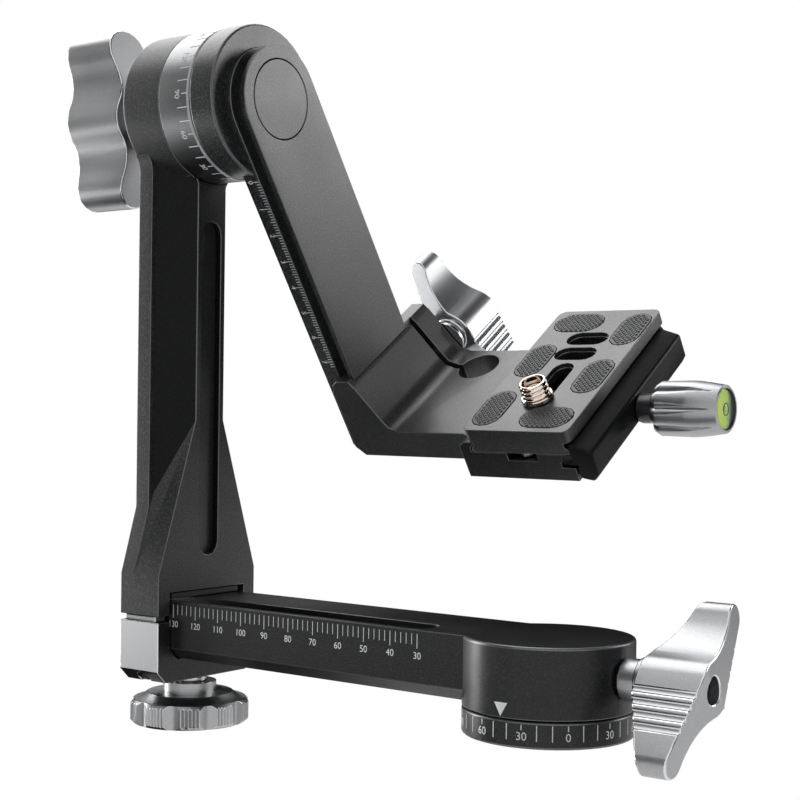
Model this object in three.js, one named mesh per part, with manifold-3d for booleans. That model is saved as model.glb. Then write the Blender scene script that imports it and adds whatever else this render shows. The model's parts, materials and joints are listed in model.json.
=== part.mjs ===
// A gimbal tripod head: a panning base, a horizontal arm, an upright that slides along it, a
// swinging arm that hangs from the upright, and a cradle that slides on the swinging arm and
// carries a quick release plate. Millimetres, +Z up. The origin is the centre of the base's
// underside. The horizontal arm runs along -X and the tilt axis is parallel to X.
import * as THREE from "three";
import { mergeVertices } from "three/addons/utils/BufferGeometryUtils.js";
import Module from "manifold-3d";

// Clearances
const touchGap = 0.3; // between pieces that bear on each other
const sideGap = 0.6; // beside the horizontal arm in its guide
const overrun = 2; // how far a cut runs past the face it opens
const weld = 1e-4;

// Faces round a full turn
const fineSides = 48;
const sides = 24;
const smallSides = 12;
const grooveSides = 8;
const arcSteps = 6;

// Pan base
const baseRadius = 25;
const baseHeight = 7.6;
const baseEdge = 0.5;
const threadRadius = 4.76; // 3/8 inch tripod thread
const bushingRadius = 6.2;
const bushingRimRadius = 11.7;
const bushingRimHeight = 1.8;
const bushingHeight = 13;
const spindleRadius = 11;
const spindleFootRadius = 9.3;
const spindleTop = 24.4;
const spindleNeckRadius = 9.6;
const plainBushRadius = 13;
const plainBushRimRadius = 17;
const plainBushRimHeight = 1.5;

// Horizontal arm
const armTop = 28;
const armBottom = 8.6;
const armHalfWidth = 17.2;
const armChamfer = 3.6;
const armEndSetback = 0.8;
const topGrooveWidth = 10.4;
const topGrooveOffset = 9.4;
const topGrooveDepth = 5;
const topGrooveStart = 33;

// Wing knobs that lock the pan and the cradle
const lockHeight = 18.1;
const wingHubRadius = 8;
const wingHubDepth = 20;
const wingTipRadius = 4;
const wingTipReach = 25;
const wingWaistRadius = 22;
const wingFrontSweep = 3.7;
const wingBackSweep = 9;
const wingCollarRadius = 6.1;
const wingCollarStep = 0.8;
const wingCollarStepDepth = 1.8;
const wingCollarLength = 7.2;
const wingHoleRadius = 3.85;
const wingHoleDepth = 7;
const wingGrooves = 4;
const wingGrooveRadius = 1.1;
const wingGrooveSink = 0.55;
const wingGroovePitch = 3.6;
const wingGrooveFirst = 6;
const panWingLean = 46;
const cradleWingLean = 26;
const panStudRadius = 3;
const brakePadRadius = 4;
const brakePadLength = 5.6;
const pressTravel = 1;
const screwHeadHeight = 3.4;
const screwHeadRadius = 3.4;
const screwSocketRadius = 1.6;
const screwSocketDepth = 1.8;
const screwShankRadius = 1.6;
const screwLength = 11;

// Upright
const reach = 135.5;
const columnDepth = 17.8;
const frontDepth = 11.75;
const backHalfWidth = 16.8;
const middleHalfWidth = 14.7;
const frontHalfWidth = 6.55;
const blockHalfWidth = 23.2;
const blockBottom = 0.8;
const blockChamfer = 3.8;
const flareBottom = 36.5;
const backFlareTop = 58.3;
const frontFlareTop = 87.9;
const splitLow = 21;
const splitHigh = 23;
const windowTop = 30.5;
const linerSetback = 1;
const linerHalfWidth = 16;
const frontGrooveWidth = 9;
const frontGrooveDepth = 2.5;
const frontGrooveLow = 42;
const frontGrooveHigh = 155;
const backFillet = 9;
const frontFillet = 4;
const yokeScrewRadius = 1.25;
const yokeScrewHeadRadius = 2.2;
const yokeScrewHeadHeight = 2.4;
const yokeScrewLength = 22;
const yokeScrewRise = 4;
const armLength = reach + columnDepth - armEndSetback;

// Knurled knob that clamps the upright on the horizontal arm
const clampKnobSetback = 7.9;
const clampPadRadius = 5.5;
const clampPadHeight = 2;
const clampStudRadius = 4;
const clampFlangeRadius = 6;
const clampFlangeHeight = 1.5;
const clampCollarRadius = 9;
const clampCollarHeight = 3.6;
const clampShoulderHeight = 2.1;
const clampShoulderRadius = 14.5;
const clampRimHeight = 8;
const clampKnobRadius = 20.2;
const clampRimEdge = 1.2;
const clampScallops = 10;
const clampScallopDepth = 1.5;
const clampRidges = 5;
const clampRidgeDepth = 0.55;

// Tilt housing, scale ring, shaft and bearings
const tiltHeight = 193.3;
const swingAngle = 33.9;
const housingRadius = 25.4;
const housingFront = 0.8; // the housing's front face lies this far behind the column's
const housingDepth = 17.7;
const housingBackEdge = 1.5;
const bossRadius = 15.5;
const bossDepth = 6;
const scaleRingDepth = 13.5;
const ringEdge = 0.6;
const ringWebDepth = 2;
const bearingRadius = 15.5;
const bearingDepth = 9;
const rearBearingRadius = 13.5;
const rearBearingDepth = 7;
const shaftRadius = 8.1;
const shaftHeadRadius = 11.5;
const shaftHeadDepth = 3;
const shaftHoleDepth = 26;
const tiltStudRadius = 4;
const thrustWasherRadius = 15;
const thrustWasherDepth = 2;
const tiltCollarRadius = 8;
const tiltCollarLength = 8.8;
const tiltHubRadius = 10.8;
const tiltHubDepth = 25.8;
const tiltLobeRadius = 8.4;
const tiltLobeReach = 23;
const tiltWaistRadius = 16.5;
const tiltBackSweep = 5.5;
const tiltWingLean = 6.8;

// Swinging arm
const discDepth = 10.3;
const discEdge = 0.6;
const swingHalfWidth = 17.8;
const swingLength = 126;
const rulerProud = 1.1;
const rulerDepth = 6.3;
const sideGrooveDepth = 4;
const sideGrooveWidth = 4.4;
const swingFlangeDepth = 1.7;
const capRadius = 13;
const capDepth = 3.2;
const frictionInner = 12;
const frictionOuter = 22;
const frictionDepth = 2;

// Cradle bracket
const cradleTop = 97;
const legRoundTop = 4.8;
const legRoundDepth = 3;
const legFlatDepth = 5.4;
const legNoseDepth = 1.9;
const legNoseDrop = 2.8;
const legWedgeDepth = 6;
const legWedgeDrop = 12.7;
const legFootDepth = 6;
const legFootDrop = 5.1;
const floorThickness = 10.6;
const floorEdgeDepth = 4;
const floorEdgeDrop = 2.4;
const bracketBackSetback = 9;
const bracketBackChamfer = 3.6;
const sideWall = 2.7;
const clampSlit = 2.4;
const jawWall = 9.7;
const slitOffset = 2.3;
const hookGap = 1.2;
const reliefRadius = 7.7;
const reliefReach = 22.5;
const cradleStudReach = 3.1;
const cradleStudDrop = 16.2;
const cradleStudRadius = 2;
const cradleCollarLength = 3.3;
const cradleStudLength = 24;
const lockWasherRadius = 7.4;
const lockWasherDepth = 1.2;
const floorTop = cradleTop + legNoseDrop + legWedgeDrop + legFootDrop;
const floorBottom = floorTop + floorThickness;
const cradleStudDepth = cradleTop + cradleStudDrop;

// Clamp for the quick release plate
const clampOffset = 44.7; // from the swinging arm's face to the clamp
const clampDepth = 42.3;
const plateInset = 23.4; // from the clamp's fixed side to the plate's middle
const clampNearEnd = 29.8;
const clampFarEnd = 41.5;
const clampFloorDrop = 0.9;
const clampThickness = 10.1;
const lipRise = 3.8;
const lipDrop = 1.3;
const lipLand = 2.2;
const tongueLength = 14.8;
const tongueHalfWidth = 20.5;
const tongueHeight = 4.3;
const clampScrewSpread = 12;
const clampScrewInset = 7.4;
const clampScrewRadius = 1.5;
const clampScrewHeadRadius = 3;
const clampScrewHeadHeight = 1.6;
const clampScrewLength = 7.7;
const jawDepth = 7;
const jawDrop = 2.7;
const jawToeDepth = 3;
const jawToeRise = 2.9;
const jawToeSetback = 3.7;
const jawTongueReach = 4.5;
const jawTongueHeight = 1.2;
const jawTongueDrop = 3.5;
const jawStroke = 3;
const driveOffset = 5;
const driveDrop = 5.1;
const driveRadius = 3;
const driveSleeveRadius = 5;
const driveSleeveLength = 6.4;
const driveTail = 20;
const guideSpread = 20;
const guideRadius = 2;
const guideTail = 10;
const fluteKnobRadius = 9.2;
const fluteKnobEndRadius = 7.75;
const fluteKnobLength = 23.4;
const fluteKnobNeck = 2.4;
const flutes = 16;
const fluteDepth = 0.6;
const levelRadius = 6.2;
const levelWall = 1.3;
const levelDepth = 4.8;
const clampFloor = floorTop + clampFloorDrop;
const clampBottom = clampFloor + clampThickness;
const lipTop = clampFloor - lipRise;
const jawTongueDepth = clampFloor + jawTongueDrop;
const driveDepth = clampFloor + driveDrop;

// Quick release plate
const plateThickness = 8.8;
const platformHalfWidth = 20.1;
const platformThickness = 4.6;
const neckHalfWidth = 17.4;
const neckHeight = 1.6;
const dovetailHalfWidth = 19;
const plateLength = 75.2;
const plateOffset = 7.4;
const plateCorner = 3;
const padLength = 20;
const padWidth = 10.3;
const crossPadLength = 18.8;
const crossPadWidth = 11.2;
const padSink = 1.2;
const padProud = 0.45;
const crossPadReach = 8.6;
const crossPadPlace = 29.4;
const padSideReach = 14.1;
const padSidePlace = 24.5;
const padMiddleReach = 13.7;
const padMiddlePlace = 4.9;
const slotWidth = 6.7;
const slotRim = 0.55;
const slotRimDepth = 1.4;
const crossSlotLength = 14.7;
const crossSlotPlace = 9.1;
const crossSlotPitch = 9.7;
const longSlotHigh = 2.6;
const longSlotLow = 22.3;
const headSlotWidth = 14.4;
const headSlotDepth = 4.6;
const cameraScrewRadius = 3.175; // 1/4 inch camera thread
const cameraScrewRise = 4.4;
const cameraScrewHole = 1.9;
const cameraScrewHoleDepth = 6;
const adapterRadius = 4.76; // 3/8 inch thread of the adapter on the camera screw
const adapterBore = 3.6;
const adapterHeight = 6.6;
const adapterRimRadius = 5.4;
const adapterRimHeight = 1.4;
const cameraHeadRadius = 6.8;
const cameraHeadHeight = 3;
const clipRadius = 6.2;
const clipHeight = 0.8;
const coinSlotWidth = 1.4;
const coinSlotDepth = 1.3;
const stopReach = 33;
const stopRadius = 2.9;
const stopHeight = 2.2;
const stopShankRadius = 1.5;
const stopShankLength = 5;
const plateTravel = 2.5;
const stopNotchHalfWidth = 5.65;
const stopNotchDepth = 2.8;

const wasm = await Module();
wasm.setup();

function finish(colour, roughness, metalness) {
  return new THREE.MeshStandardMaterial({ color: colour, roughness, metalness });
}

const blackMetal = finish(0x25272a, 0.55, 0.6);
const silverMetal = finish(0xa9acb0, 0.42, 0.85);
const steel = finish(0xb9bcc0, 0.3, 1);
const darkSteel = finish(0x3a3c3f, 0.4, 0.9);
const bronze = finish(0xa98a5a, 0.4, 0.9);
const rubber = finish(0x1b1b1c, 0.9, 0);
const polymer = finish(0x202124, 0.6, 0);
const vialGreen = finish(0x9fd63a, 0.1, 0);

// The solid inside a closed surface, whichever way its faces were wound.
function solid(geometry) {
  const bare = geometry.index ? geometry.toNonIndexed() : geometry.clone();
  bare.deleteAttribute("normal");
  bare.deleteAttribute("uv");
  const merged = mergeVertices(bare, weld);
  const vertProperties = new Float32Array(merged.attributes.position.array);
  const triVerts = new Uint32Array(merged.index.array);
  const made = new wasm.Manifold(new wasm.Mesh({ numProp: 3, vertProperties, triVerts }));
  if (made.volume() >= 0) return made;
  const turned = triVerts.slice();
  for (let i = 0; i < turned.length; i += 3) {
    turned[i + 1] = triVerts[i + 2];
    turned[i + 2] = triVerts[i + 1];
  }
  return new wasm.Manifold(new wasm.Mesh({ numProp: 3, vertProperties, triVerts: turned }));
}

function geometryOf(body) {
  const mesh = body.getMesh();
  const geometry = new THREE.BufferGeometry();
  const places = new THREE.BufferAttribute(new Float32Array(mesh.vertProperties), 3);
  geometry.setAttribute("position", places);
  geometry.setIndex(new THREE.BufferAttribute(new Uint32Array(mesh.triVerts), 1));
  const flat = geometry.toNonIndexed();
  flat.computeVertexNormals();
  return flat;
}

function join(...bodies) {
  return bodies.reduce((whole, next) => whole.add(next));
}

function cut(body, ...tools) {
  return tools.reduce((rest, tool) => rest.subtract(tool), body);
}

const xWay = new THREE.Vector3(1, 0, 0);
const yWay = new THREE.Vector3(0, 1, 0);
const zWay = new THREE.Vector3(0, 0, 1);

// A flat outline pushed along an axis. The outline is drawn in (y, z) for x, in (x, z) for y
// and in (x, y) for z.
function prism(axis, outline, low, high) {
  const shape = new THREE.Shape(outline.map(([a, b]) => new THREE.Vector2(a, b)));
  const geometry = new THREE.ExtrudeGeometry(shape, { depth: high - low, bevelEnabled: false });
  const start = axis === "y" ? -high : low;
  geometry.translate(0, 0, start);
  const basis = new THREE.Matrix4();
  if (axis === "x") basis.makeBasis(yWay, zWay, xWay);
  if (axis === "y") basis.makeBasis(xWay, zWay, yWay.clone().negate());
  return solid(geometry.applyMatrix4(basis));
}

// A profile of [radius, place along the axis] turned about an axis through a centre, which is
// (y, z) for x, (x, z) for y and (x, y) for z.
function turned(axis, centre, profile, steps = sides) {
  const points = profile.map(([radius, along]) => new THREE.Vector2(radius, along));
  const geometry = new THREE.LatheGeometry(points, steps);
  const basis = new THREE.Matrix4();
  const [a, b] = centre;
  if (axis === "x") basis.makeBasis(zWay, xWay, yWay).setPosition(0, a, b);
  if (axis === "y") basis.setPosition(a, 0, b);
  if (axis === "z") basis.makeBasis(xWay, zWay, yWay.clone().negate()).setPosition(a, b, 0);
  return solid(geometry.applyMatrix4(basis));
}

function rod(axis, centre, radius, low, high, steps = sides) {
  const profile = [
    [0, low],
    [radius, low],
    [radius, high],
    [0, high],
  ];
  return turned(axis, centre, profile, steps);
}

function tube(axis, centre, outer, inner, low, high, steps = sides) {
  const profile = [
    [inner, low],
    [outer, low],
    [outer, high],
    [inner, high],
    [inner, low],
  ];
  return turned(axis, centre, profile, steps);
}

// A rod with a chamfer at each end where one is given.
function edgedRod(axis, centre, radius, low, high, lowEdge, highEdge, steps = sides) {
  const profile = [
    [0, low],
    [radius - lowEdge, low],
    [radius, low + lowEdge],
    [radius, high - highEdge],
    [radius - highEdge, high],
    [0, high],
  ].filter(([radius, along], i, all) => i === 0 || radius !== all[i - 1][0] || along !== all[i - 1][1]);
  return turned(axis, centre, profile, steps);
}

function box(x0, x1, y0, y1, z0, z1) {
  const geometry = new THREE.BoxGeometry(x1 - x0, y1 - y0, z1 - z0);
  geometry.translate((x0 + x1) / 2, (y0 + y1) / 2, (z0 + z1) / 2);
  return solid(geometry);
}

const radians = THREE.MathUtils.degToRad;

// Points along an arc from one angle to another, in degrees.
function arc(x, y, radius, from, to, steps = arcSteps) {
  const points = [];
  for (let i = 0; i <= steps; i++) {
    const angle = radians(from + ((to - from) * i) / steps);
    points.push([x + radius * Math.cos(angle), y + radius * Math.sin(angle)]);
  }
  return points;
}

// A slot outline with round ends, centred on a point and lying along its first axis.
function stadium(x, y, length, width, upright = false) {
  const half = (length - width) / 2;
  const points = [
    ...arc(half, 0, width / 2, -90, 90),
    ...arc(-half, 0, width / 2, 90, 270),
  ];
  return points.map(([a, b]) => (upright ? [x - b, y + a] : [x + a, y + b]));
}

function piece(group, name, body, look) {
  const mesh = new THREE.Mesh(geometryOf(body), look);
  mesh.name = name;
  group.add(mesh);
  return mesh;
}

// Where the arc that hollows a wing touches the hub and the tip.
function waist(hub, tip, tipReach, radius) {
  const along = (tipReach ** 2 + (hub + radius) ** 2 - (tip + radius) ** 2) / (2 * tipReach);
  const across = Math.sqrt((hub + radius) ** 2 - along ** 2);
  const toHub = THREE.MathUtils.radToDeg(Math.atan2(-along, -across));
  const toTip = THREE.MathUtils.radToDeg(Math.atan2(tipReach - along, -across));
  return { along, across, toHub, toTip };
}

// Half of a knob's outline, from the hub over the upper tip and back to the hub. One side may
// be the straight tangent of hub and tip; the other is always hollow.
function halfWing(hub, tip, tipReach, radius, straight) {
  const hollow = waist(hub, tip, tipReach, radius);
  const slope = THREE.MathUtils.radToDeg(Math.asin((hub - tip) / tipReach));
  const toHub = (hollow.toHub + 360) % 360;
  const toTip = (hollow.toTip + 360) % 360;
  const right = arc(hollow.across, hollow.along, radius, toHub, toTip);
  const left = right.map(([a, b]) => [-a, b]).reverse();
  const tipStart = straight ? slope : toTip - 180;
  const over = arc(0, tipReach, tip, tipStart, 360 - toTip, 2 * arcSteps);
  const contact = toHub - 180;
  const rest = arc(0, 0, hub, 180 - contact, 180 + (straight ? slope : contact));
  return [...(straight ? [] : right), ...over, ...left, ...rest];
}

function wingOutline(hub, tip, tipReach, radius, straight) {
  const half = halfWing(hub, tip, tipReach, radius, straight);
  const whole = [...half, ...half.map(([a, b]) => [-a, -b])];
  return whole.filter(([a, b], i) => {
    const [c, d] = whole[(i + 1) % whole.length];
    return Math.hypot(a - c, b - d) > weld * 10;
  });
}

// A wing knob that points along +Z from the foot of its collar, with one wing towards +Y.
function wingKnob(sizes) {
  const { hub, hubDepth, tip, tipReach, waistRadius, straight, collar, studHole } = sizes;
  const top = collar.length + hubDepth;
  const outline = wingOutline(hub, tip, tipReach, waistRadius, straight);
  const end = tipReach + tip;
  const profile = [
    [-end - overrun, collar.length + sizes.backSweep],
    [-hub, collar.length],
    [hub, collar.length],
    [end + overrun, collar.length + sizes.backSweep],
    [end + overrun, top - sizes.frontSweep],
    [0, top],
    [-end - overrun, top - sizes.frontSweep],
  ];
  const side = prism("x", profile, -end, end);
  let body = prism("z", outline, collar.length, top).intersect(side);
  const neck = rod("z", [0, 0], collar.radius, 0, collar.length + overrun, smallSides);
  body = body.add(neck);
  if (collar.step > 0) {
    const stepLow = collar.length - collar.stepDepth;
    const ring = rod("z", [0, 0], collar.radius + collar.step, stepLow, collar.length + overrun);
    body = body.add(ring);
  }
  const bore = rod("z", [0, 0], studHole, -overrun, top - sizes.holeDepth, smallSides);
  const mouth = rod("z", [0, 0], sizes.holeRadius, top - sizes.holeDepth, top + overrun);
  const shank = rod("z", [0, 0], studHole, -overrun, top, smallSides);
  body = cut(body, bore, mouth, shank);
  return straight ? cut(body, ...gripGrooves(sizes)) : body;
}

// Shallow grooves across the straight side of each wing.
function gripGrooves(sizes) {
  const { hub, tip, tipReach } = sizes;
  const slope = Math.asin((hub - tip) / tipReach);
  const tools = [];
  for (let i = 0; i < wingGrooves; i++) {
    const along = wingGrooveFirst + i * wingGroovePitch;
    const out = hub + wingGrooveRadius - wingGrooveSink;
    const x = out * Math.cos(slope) - along * Math.sin(slope);
    const y = out * Math.sin(slope) + along * Math.cos(slope);
    const top = sizes.collar.length + sizes.hubDepth + overrun;
    tools.push(rod("z", [x, y], wingGrooveRadius, 0, top, grooveSides));
    tools.push(rod("z", [-x, -y], wingGrooveRadius, 0, top, grooveSides));
  }
  return tools;
}

// A cap screw along +Z, with its head's top at the given height and a hexagon socket.
function capScrew(headRadius, headHeight, shankRadius, length, socketRadius, socketDepth) {
  const head = rod("z", [0, 0], headRadius, -headHeight, 0, smallSides);
  const shank = rod("z", [0, 0], shankRadius, -length, 0, smallSides);
  const socket = rod("z", [0, 0], socketRadius, -socketDepth, overrun, 6);
  return cut(join(head, shank), socket);
}

// The stud of a wing knob: it starts below the knob's foot and ends under the screw.
function knobStud(radius, below, sizes) {
  const top = sizes.collar.length + sizes.hubDepth - sizes.holeDepth - touchGap;
  const stud = rod("z", [0, 0], radius, -below, top, smallSides);
  const hole = screwShankRadius + touchGap;
  const deep = screwLength - screwHeadHeight + touchGap;
  return cut(stud, rod("z", [0, 0], hole, top - deep, top + overrun, smallSides));
}

function knobScrew(sizes) {
  const top = sizes.collar.length + sizes.hubDepth - sizes.holeDepth + screwHeadHeight;
  const { socket } = sizes;
  const body = capScrew(screwHeadRadius, screwHeadHeight - touchGap, screwShankRadius,
    screwLength - touchGap, socket, screwSocketDepth);
  return body.translate([0, 0, top + touchGap / 2]);
}

const smallWing = {
  hub: wingHubRadius,
  hubDepth: wingHubDepth,
  tip: wingTipRadius,
  tipReach: wingTipReach,
  waistRadius: wingWaistRadius,
  straight: true,
  frontSweep: wingFrontSweep,
  backSweep: wingBackSweep,
  holeRadius: wingHoleRadius,
  holeDepth: wingHoleDepth,
  socket: screwSocketRadius,
};

function wingSizes(base, collarLength, collarRadius, step, studRadius) {
  const collar = { length: collarLength, radius: collarRadius, step, stepDepth: wingCollarStepDepth };
  return { ...base, collar, studHole: studRadius + touchGap };
}

// Puts a knob group's +Z along one direction and its +Y along another.
function aim(group, place, out, up) {
  const side = new THREE.Vector3().crossVectors(up, out);
  const basis = new THREE.Matrix4().makeBasis(side, up, out);
  group.quaternion.setFromRotationMatrix(basis);
  group.position.copy(place);
}

const head = new THREE.Group();
const panBody = new THREE.Group();
const upright = new THREE.Group();
const swing = new THREE.Group();
const cradle = new THREE.Group();
head.add(panBody);
panBody.add(upright);
upright.position.x = -reach;
upright.add(swing);
swing.position.z = tiltHeight;
swing.rotation.x = radians(swingAngle);
swing.add(cradle);

// Pan base: the plate with the degree scale, the spindle that stands in it, and the threaded
// bushing that clamps the two together from below.
const baseBore = spindleFootRadius + touchGap;
const bushingRimTop = touchGap + bushingRimHeight;
const drumBottom = baseHeight + touchGap;
const grooveHalf = brakePadRadius + 2 * touchGap;

function basePlate() {
  const plate = edgedRod("z", [0, 0], baseRadius, 0, baseHeight, baseEdge, baseEdge, fineSides);
  const bore = rod("z", [0, 0], baseBore, -overrun, baseHeight + overrun);
  const recess = rod("z", [0, 0], bushingRimRadius + touchGap, -overrun, bushingRimTop + touchGap);
  return cut(plate, bore, recess);
}

function panSpindle() {
  const low = bushingRimTop + touchGap;
  const profile = [
    [0, low],
    [spindleFootRadius, low],
    [spindleFootRadius, drumBottom],
    [spindleRadius, drumBottom],
    [spindleRadius, lockHeight - grooveHalf],
    [spindleNeckRadius, lockHeight - grooveHalf],
    [spindleNeckRadius, lockHeight + grooveHalf],
    [spindleRadius, lockHeight + grooveHalf],
    [spindleRadius, spindleTop],
    [0, spindleTop],
  ];
  const hole = rod("z", [0, 0], bushingRadius + touchGap, 0, bushingHeight + 2 * touchGap);
  return cut(turned("z", [0, 0], profile), hole);
}

function tripodBushing() {
  const rim = rod("z", [0, 0], bushingRimRadius, touchGap, bushingRimTop);
  const body = rod("z", [0, 0], bushingRadius, touchGap, bushingHeight);
  const thread = rod("z", [0, 0], threadRadius, -overrun, bushingHeight + overrun);
  return cut(join(rim, body), thread);
}

piece(head, "base_plate", basePlate(), blackMetal);
piece(head, "pan_spindle", panSpindle(), steel);
piece(head, "tripod_bushing", tripodBushing(), steel);

// Horizontal arm with its drum, and what turns with it.
const drumBore = plainBushRadius + touchGap;
const padOuterEnd = spindleNeckRadius + touchGap + brakePadLength;
const rimRecess = plainBushRimRadius + touchGap;

function armSection(halfWidth, bottom, top, chamfer) {
  return [
    [-halfWidth + chamfer, bottom],
    [halfWidth - chamfer, bottom],
    [halfWidth, bottom + chamfer],
    [halfWidth, top],
    [-halfWidth, top],
    [-halfWidth, bottom + chamfer],
  ];
}

function horizontalArm() {
  const drum = edgedRod("z", [0, 0], baseRadius, drumBottom, armTop, 0, baseEdge, fineSides);
  const bar = prism("x", armSection(armHalfWidth, armBottom, armTop, armChamfer), -armLength, 0);
  const grooveLength = armLength - topGrooveStart + overrun;
  const grooveMiddle = -topGrooveStart - grooveLength / 2;
  const groove = prism("z", stadium(grooveMiddle - topGrooveWidth / 2, -topGrooveOffset,
    grooveLength + topGrooveWidth, topGrooveWidth), armTop - topGrooveDepth, armTop + overrun);
  const bore = rod("z", [0, 0], drumBore, 0, spindleTop + touchGap);
  const recess = rod("z", [0, 0], rimRecess, 0, drumBottom + plainBushRimHeight + touchGap);
  const padHole = rod("x", [0, lockHeight], brakePadRadius + touchGap, 0,
    padOuterEnd + pressTravel + touchGap, smallSides);
  const studHole = rod("x", [0, lockHeight], panStudRadius + touchGap, 0, baseRadius + overrun,
    smallSides);
  return cut(join(drum, bar), groove, bore, recess, padHole, studHole);
}

function panBushing() {
  const inner = spindleRadius + touchGap;
  const top = spindleTop - touchGap;
  const body = tube("z", [0, 0], plainBushRadius, inner, drumBottom, top);
  const rim = tube("z", [0, 0], plainBushRimRadius, inner, drumBottom,
    drumBottom + plainBushRimHeight);
  const window = rod("x", [0, lockHeight], brakePadRadius + touchGap, 0, drumBore + overrun,
    smallSides);
  return cut(join(body, rim), window);
}

piece(panBody, "horizontal_arm", horizontalArm(), blackMetal);
piece(panBody, "pan_bushing", panBushing(), bronze);
piece(panBody, "pan_brake_pad", rod("x", [0, lockHeight], brakePadRadius,
  spindleNeckRadius + touchGap, padOuterEnd, smallSides), polymer);

const panKnob = new THREE.Group();
const panWing = wingSizes(smallWing, wingCollarLength, wingCollarRadius, wingCollarStep,
  panStudRadius);
const panLean = radians(panWingLean);
const panUp = new THREE.Vector3(0, Math.sin(panLean), Math.cos(panLean));
const panFoot = new THREE.Vector3(baseRadius + touchGap, 0, lockHeight);
aim(panKnob, panFoot, xWay, panUp);
panBody.add(panKnob);
piece(panKnob, "pan_lock_knob", wingKnob(panWing), silverMetal);
piece(panKnob, "pan_lock_stud", knobStud(panStudRadius, panFoot.x - padOuterEnd - touchGap,
  panWing), steel);
piece(panKnob, "pan_lock_screw", knobScrew(panWing), darkSteel);

// Upright: the block with the window for the horizontal arm, the column and the tilt housing.
const columnBack = -columnDepth;
const frontBack = -frontDepth;
const housingFace = -housingFront;
const housingBack = housingFace - housingDepth;
const bossBack = housingBack - bossDepth;
const windowHalf = armHalfWidth + sideGap;
const blockMiddle = -columnDepth / 2;
const frontTop = tiltHeight - housingRadius - touchGap;

// Where an arc that fills the corner between the column and the housing starts and ends.
function cornerArc(halfWidth, radius) {
  const across = halfWidth + radius;
  const rise = Math.sqrt((housingRadius + radius) ** 2 - across ** 2);
  const end = THREE.MathUtils.radToDeg(Math.atan2(rise, -across));
  const right = arc(across, tiltHeight - rise, radius, 180, end);
  return right;
}

function stemOutline(low, wide, flareLow, flareHigh, narrow, fillet) {
  const corner = cornerArc(narrow, fillet);
  const right = [[wide, low], [wide, flareLow], [narrow, flareHigh], ...corner];
  const left = right.map(([y, z]) => [-y, z]).reverse();
  return [...right, [0, tiltHeight], ...left];
}

function columnBody() {
  const front = prism("x", stemOutline(splitHigh, blockHalfWidth, flareBottom, frontFlareTop,
    frontHalfWidth, frontFillet), frontBack, 0);
  const back = prism("x", stemOutline(splitHigh, blockHalfWidth, flareBottom, backFlareTop,
    backHalfWidth, backFillet), columnBack, frontBack);
  const wedge = [
    [frontBack, -middleHalfWidth],
    [0, -frontHalfWidth],
    [0, frontHalfWidth],
    [frontBack, middleHalfWidth],
  ];
  const slant = prism("z", wedge, flareBottom, tiltHeight - housingRadius + backFillet);
  return join(front, back, slant);
}

function frontGroove() {
  const middle = (frontGrooveLow + frontGrooveHigh) / 2;
  const outline = stadium(0, middle, frontGrooveHigh - frontGrooveLow, frontGrooveWidth, true);
  return prism("x", outline, -frontGrooveDepth, overrun);
}

function verticalArm() {
  const housing = edgedRod("x", [0, tiltHeight], housingRadius, housingBack, housingFace,
    housingBackEdge, 0, fineSides);
  const boss = rod("x", [0, tiltHeight], bossRadius, bossBack, housingBack + overrun);
  const ringSeat = rod("x", [0, tiltHeight], housingRadius + touchGap, housingFace, overrun,
    fineSides);
  const window = box(columnBack - overrun, overrun, -windowHalf, windowHalf, 0, windowTop);
  const bearingSeat = rod("x", [0, tiltHeight], rearBearingRadius + touchGap, bossBack - overrun,
    bossBack + rearBearingDepth + 3 * touchGap);
  const bore = rod("x", [0, tiltHeight], shaftRadius + touchGap, bossBack, overrun);
  const whole = join(cut(columnBody(), ringSeat), housing, boss);
  return cut(whole, frontGroove(), window, bearingSeat, bore, ...yokeScrewHoles());
}

function yokeScrewPlaces() {
  const y = (windowHalf + blockHalfWidth) / 2 - touchGap / 2;
  return [-y, y];
}

function yokeScrewHoles() {
  const top = yokeScrewRise + yokeScrewHeadHeight + yokeScrewLength + 2 * touchGap;
  return yokeScrewPlaces().map((y) =>
    rod("z", [blockMiddle, y], yokeScrewRadius + touchGap, 0, top, arcSteps * 2));
}

function clampYoke() {
  const outer = armSection(blockHalfWidth, blockBottom, splitLow, blockChamfer);
  const innerBottom = armBottom - touchGap;
  const inner = armSection(windowHalf, innerBottom, splitLow + overrun, armChamfer + touchGap);
  const bar = prism("x", outer, columnBack, 0);
  const channel = prism("x", inner, columnBack - overrun, overrun);
  const knobX = -clampKnobSetback;
  const padPocket = rod("z", [knobX, 0], clampPadRadius + touchGap,
    innerBottom - clampPadHeight - pressTravel - touchGap, armBottom, smallSides);
  const studHole = rod("z", [knobX, 0], clampStudRadius + touchGap, 0, armBottom, smallSides);
  const heads = yokeScrewPlaces().map((y) => rod("z", [blockMiddle, y],
    yokeScrewHeadRadius + touchGap / 2, 0, yokeScrewRise + yokeScrewHeadHeight, arcSteps * 2));
  return cut(bar, channel, padPocket, studHole, ...heads, ...yokeScrewHoles());
}

function yokeScrew() {
  const total = yokeScrewHeadHeight - touchGap + yokeScrewLength;
  const body = capScrew(yokeScrewHeadRadius, yokeScrewHeadHeight - touchGap, yokeScrewRadius,
    total, yokeScrewRadius, yokeScrewHeadHeight / 2);
  return body.rotate([180, 0, 0]).translate([blockMiddle, 0, yokeScrewRise]);
}

piece(upright, "vertical_arm", verticalArm(), blackMetal);
piece(upright, "clamp_yoke", clampYoke(), silverMetal);
yokeScrewPlaces().forEach((y, i) => {
  const screw = piece(upright, ["yoke_screw_near", "yoke_screw_far"][i], yokeScrew(), darkSteel);
  screw.position.y = y;
});
piece(upright, "arm_guide_liner", box(columnBack + linerSetback, -linerSetback, -linerHalfWidth,
  linerHalfWidth, armTop + touchGap, windowTop - touchGap), polymer);

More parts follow.
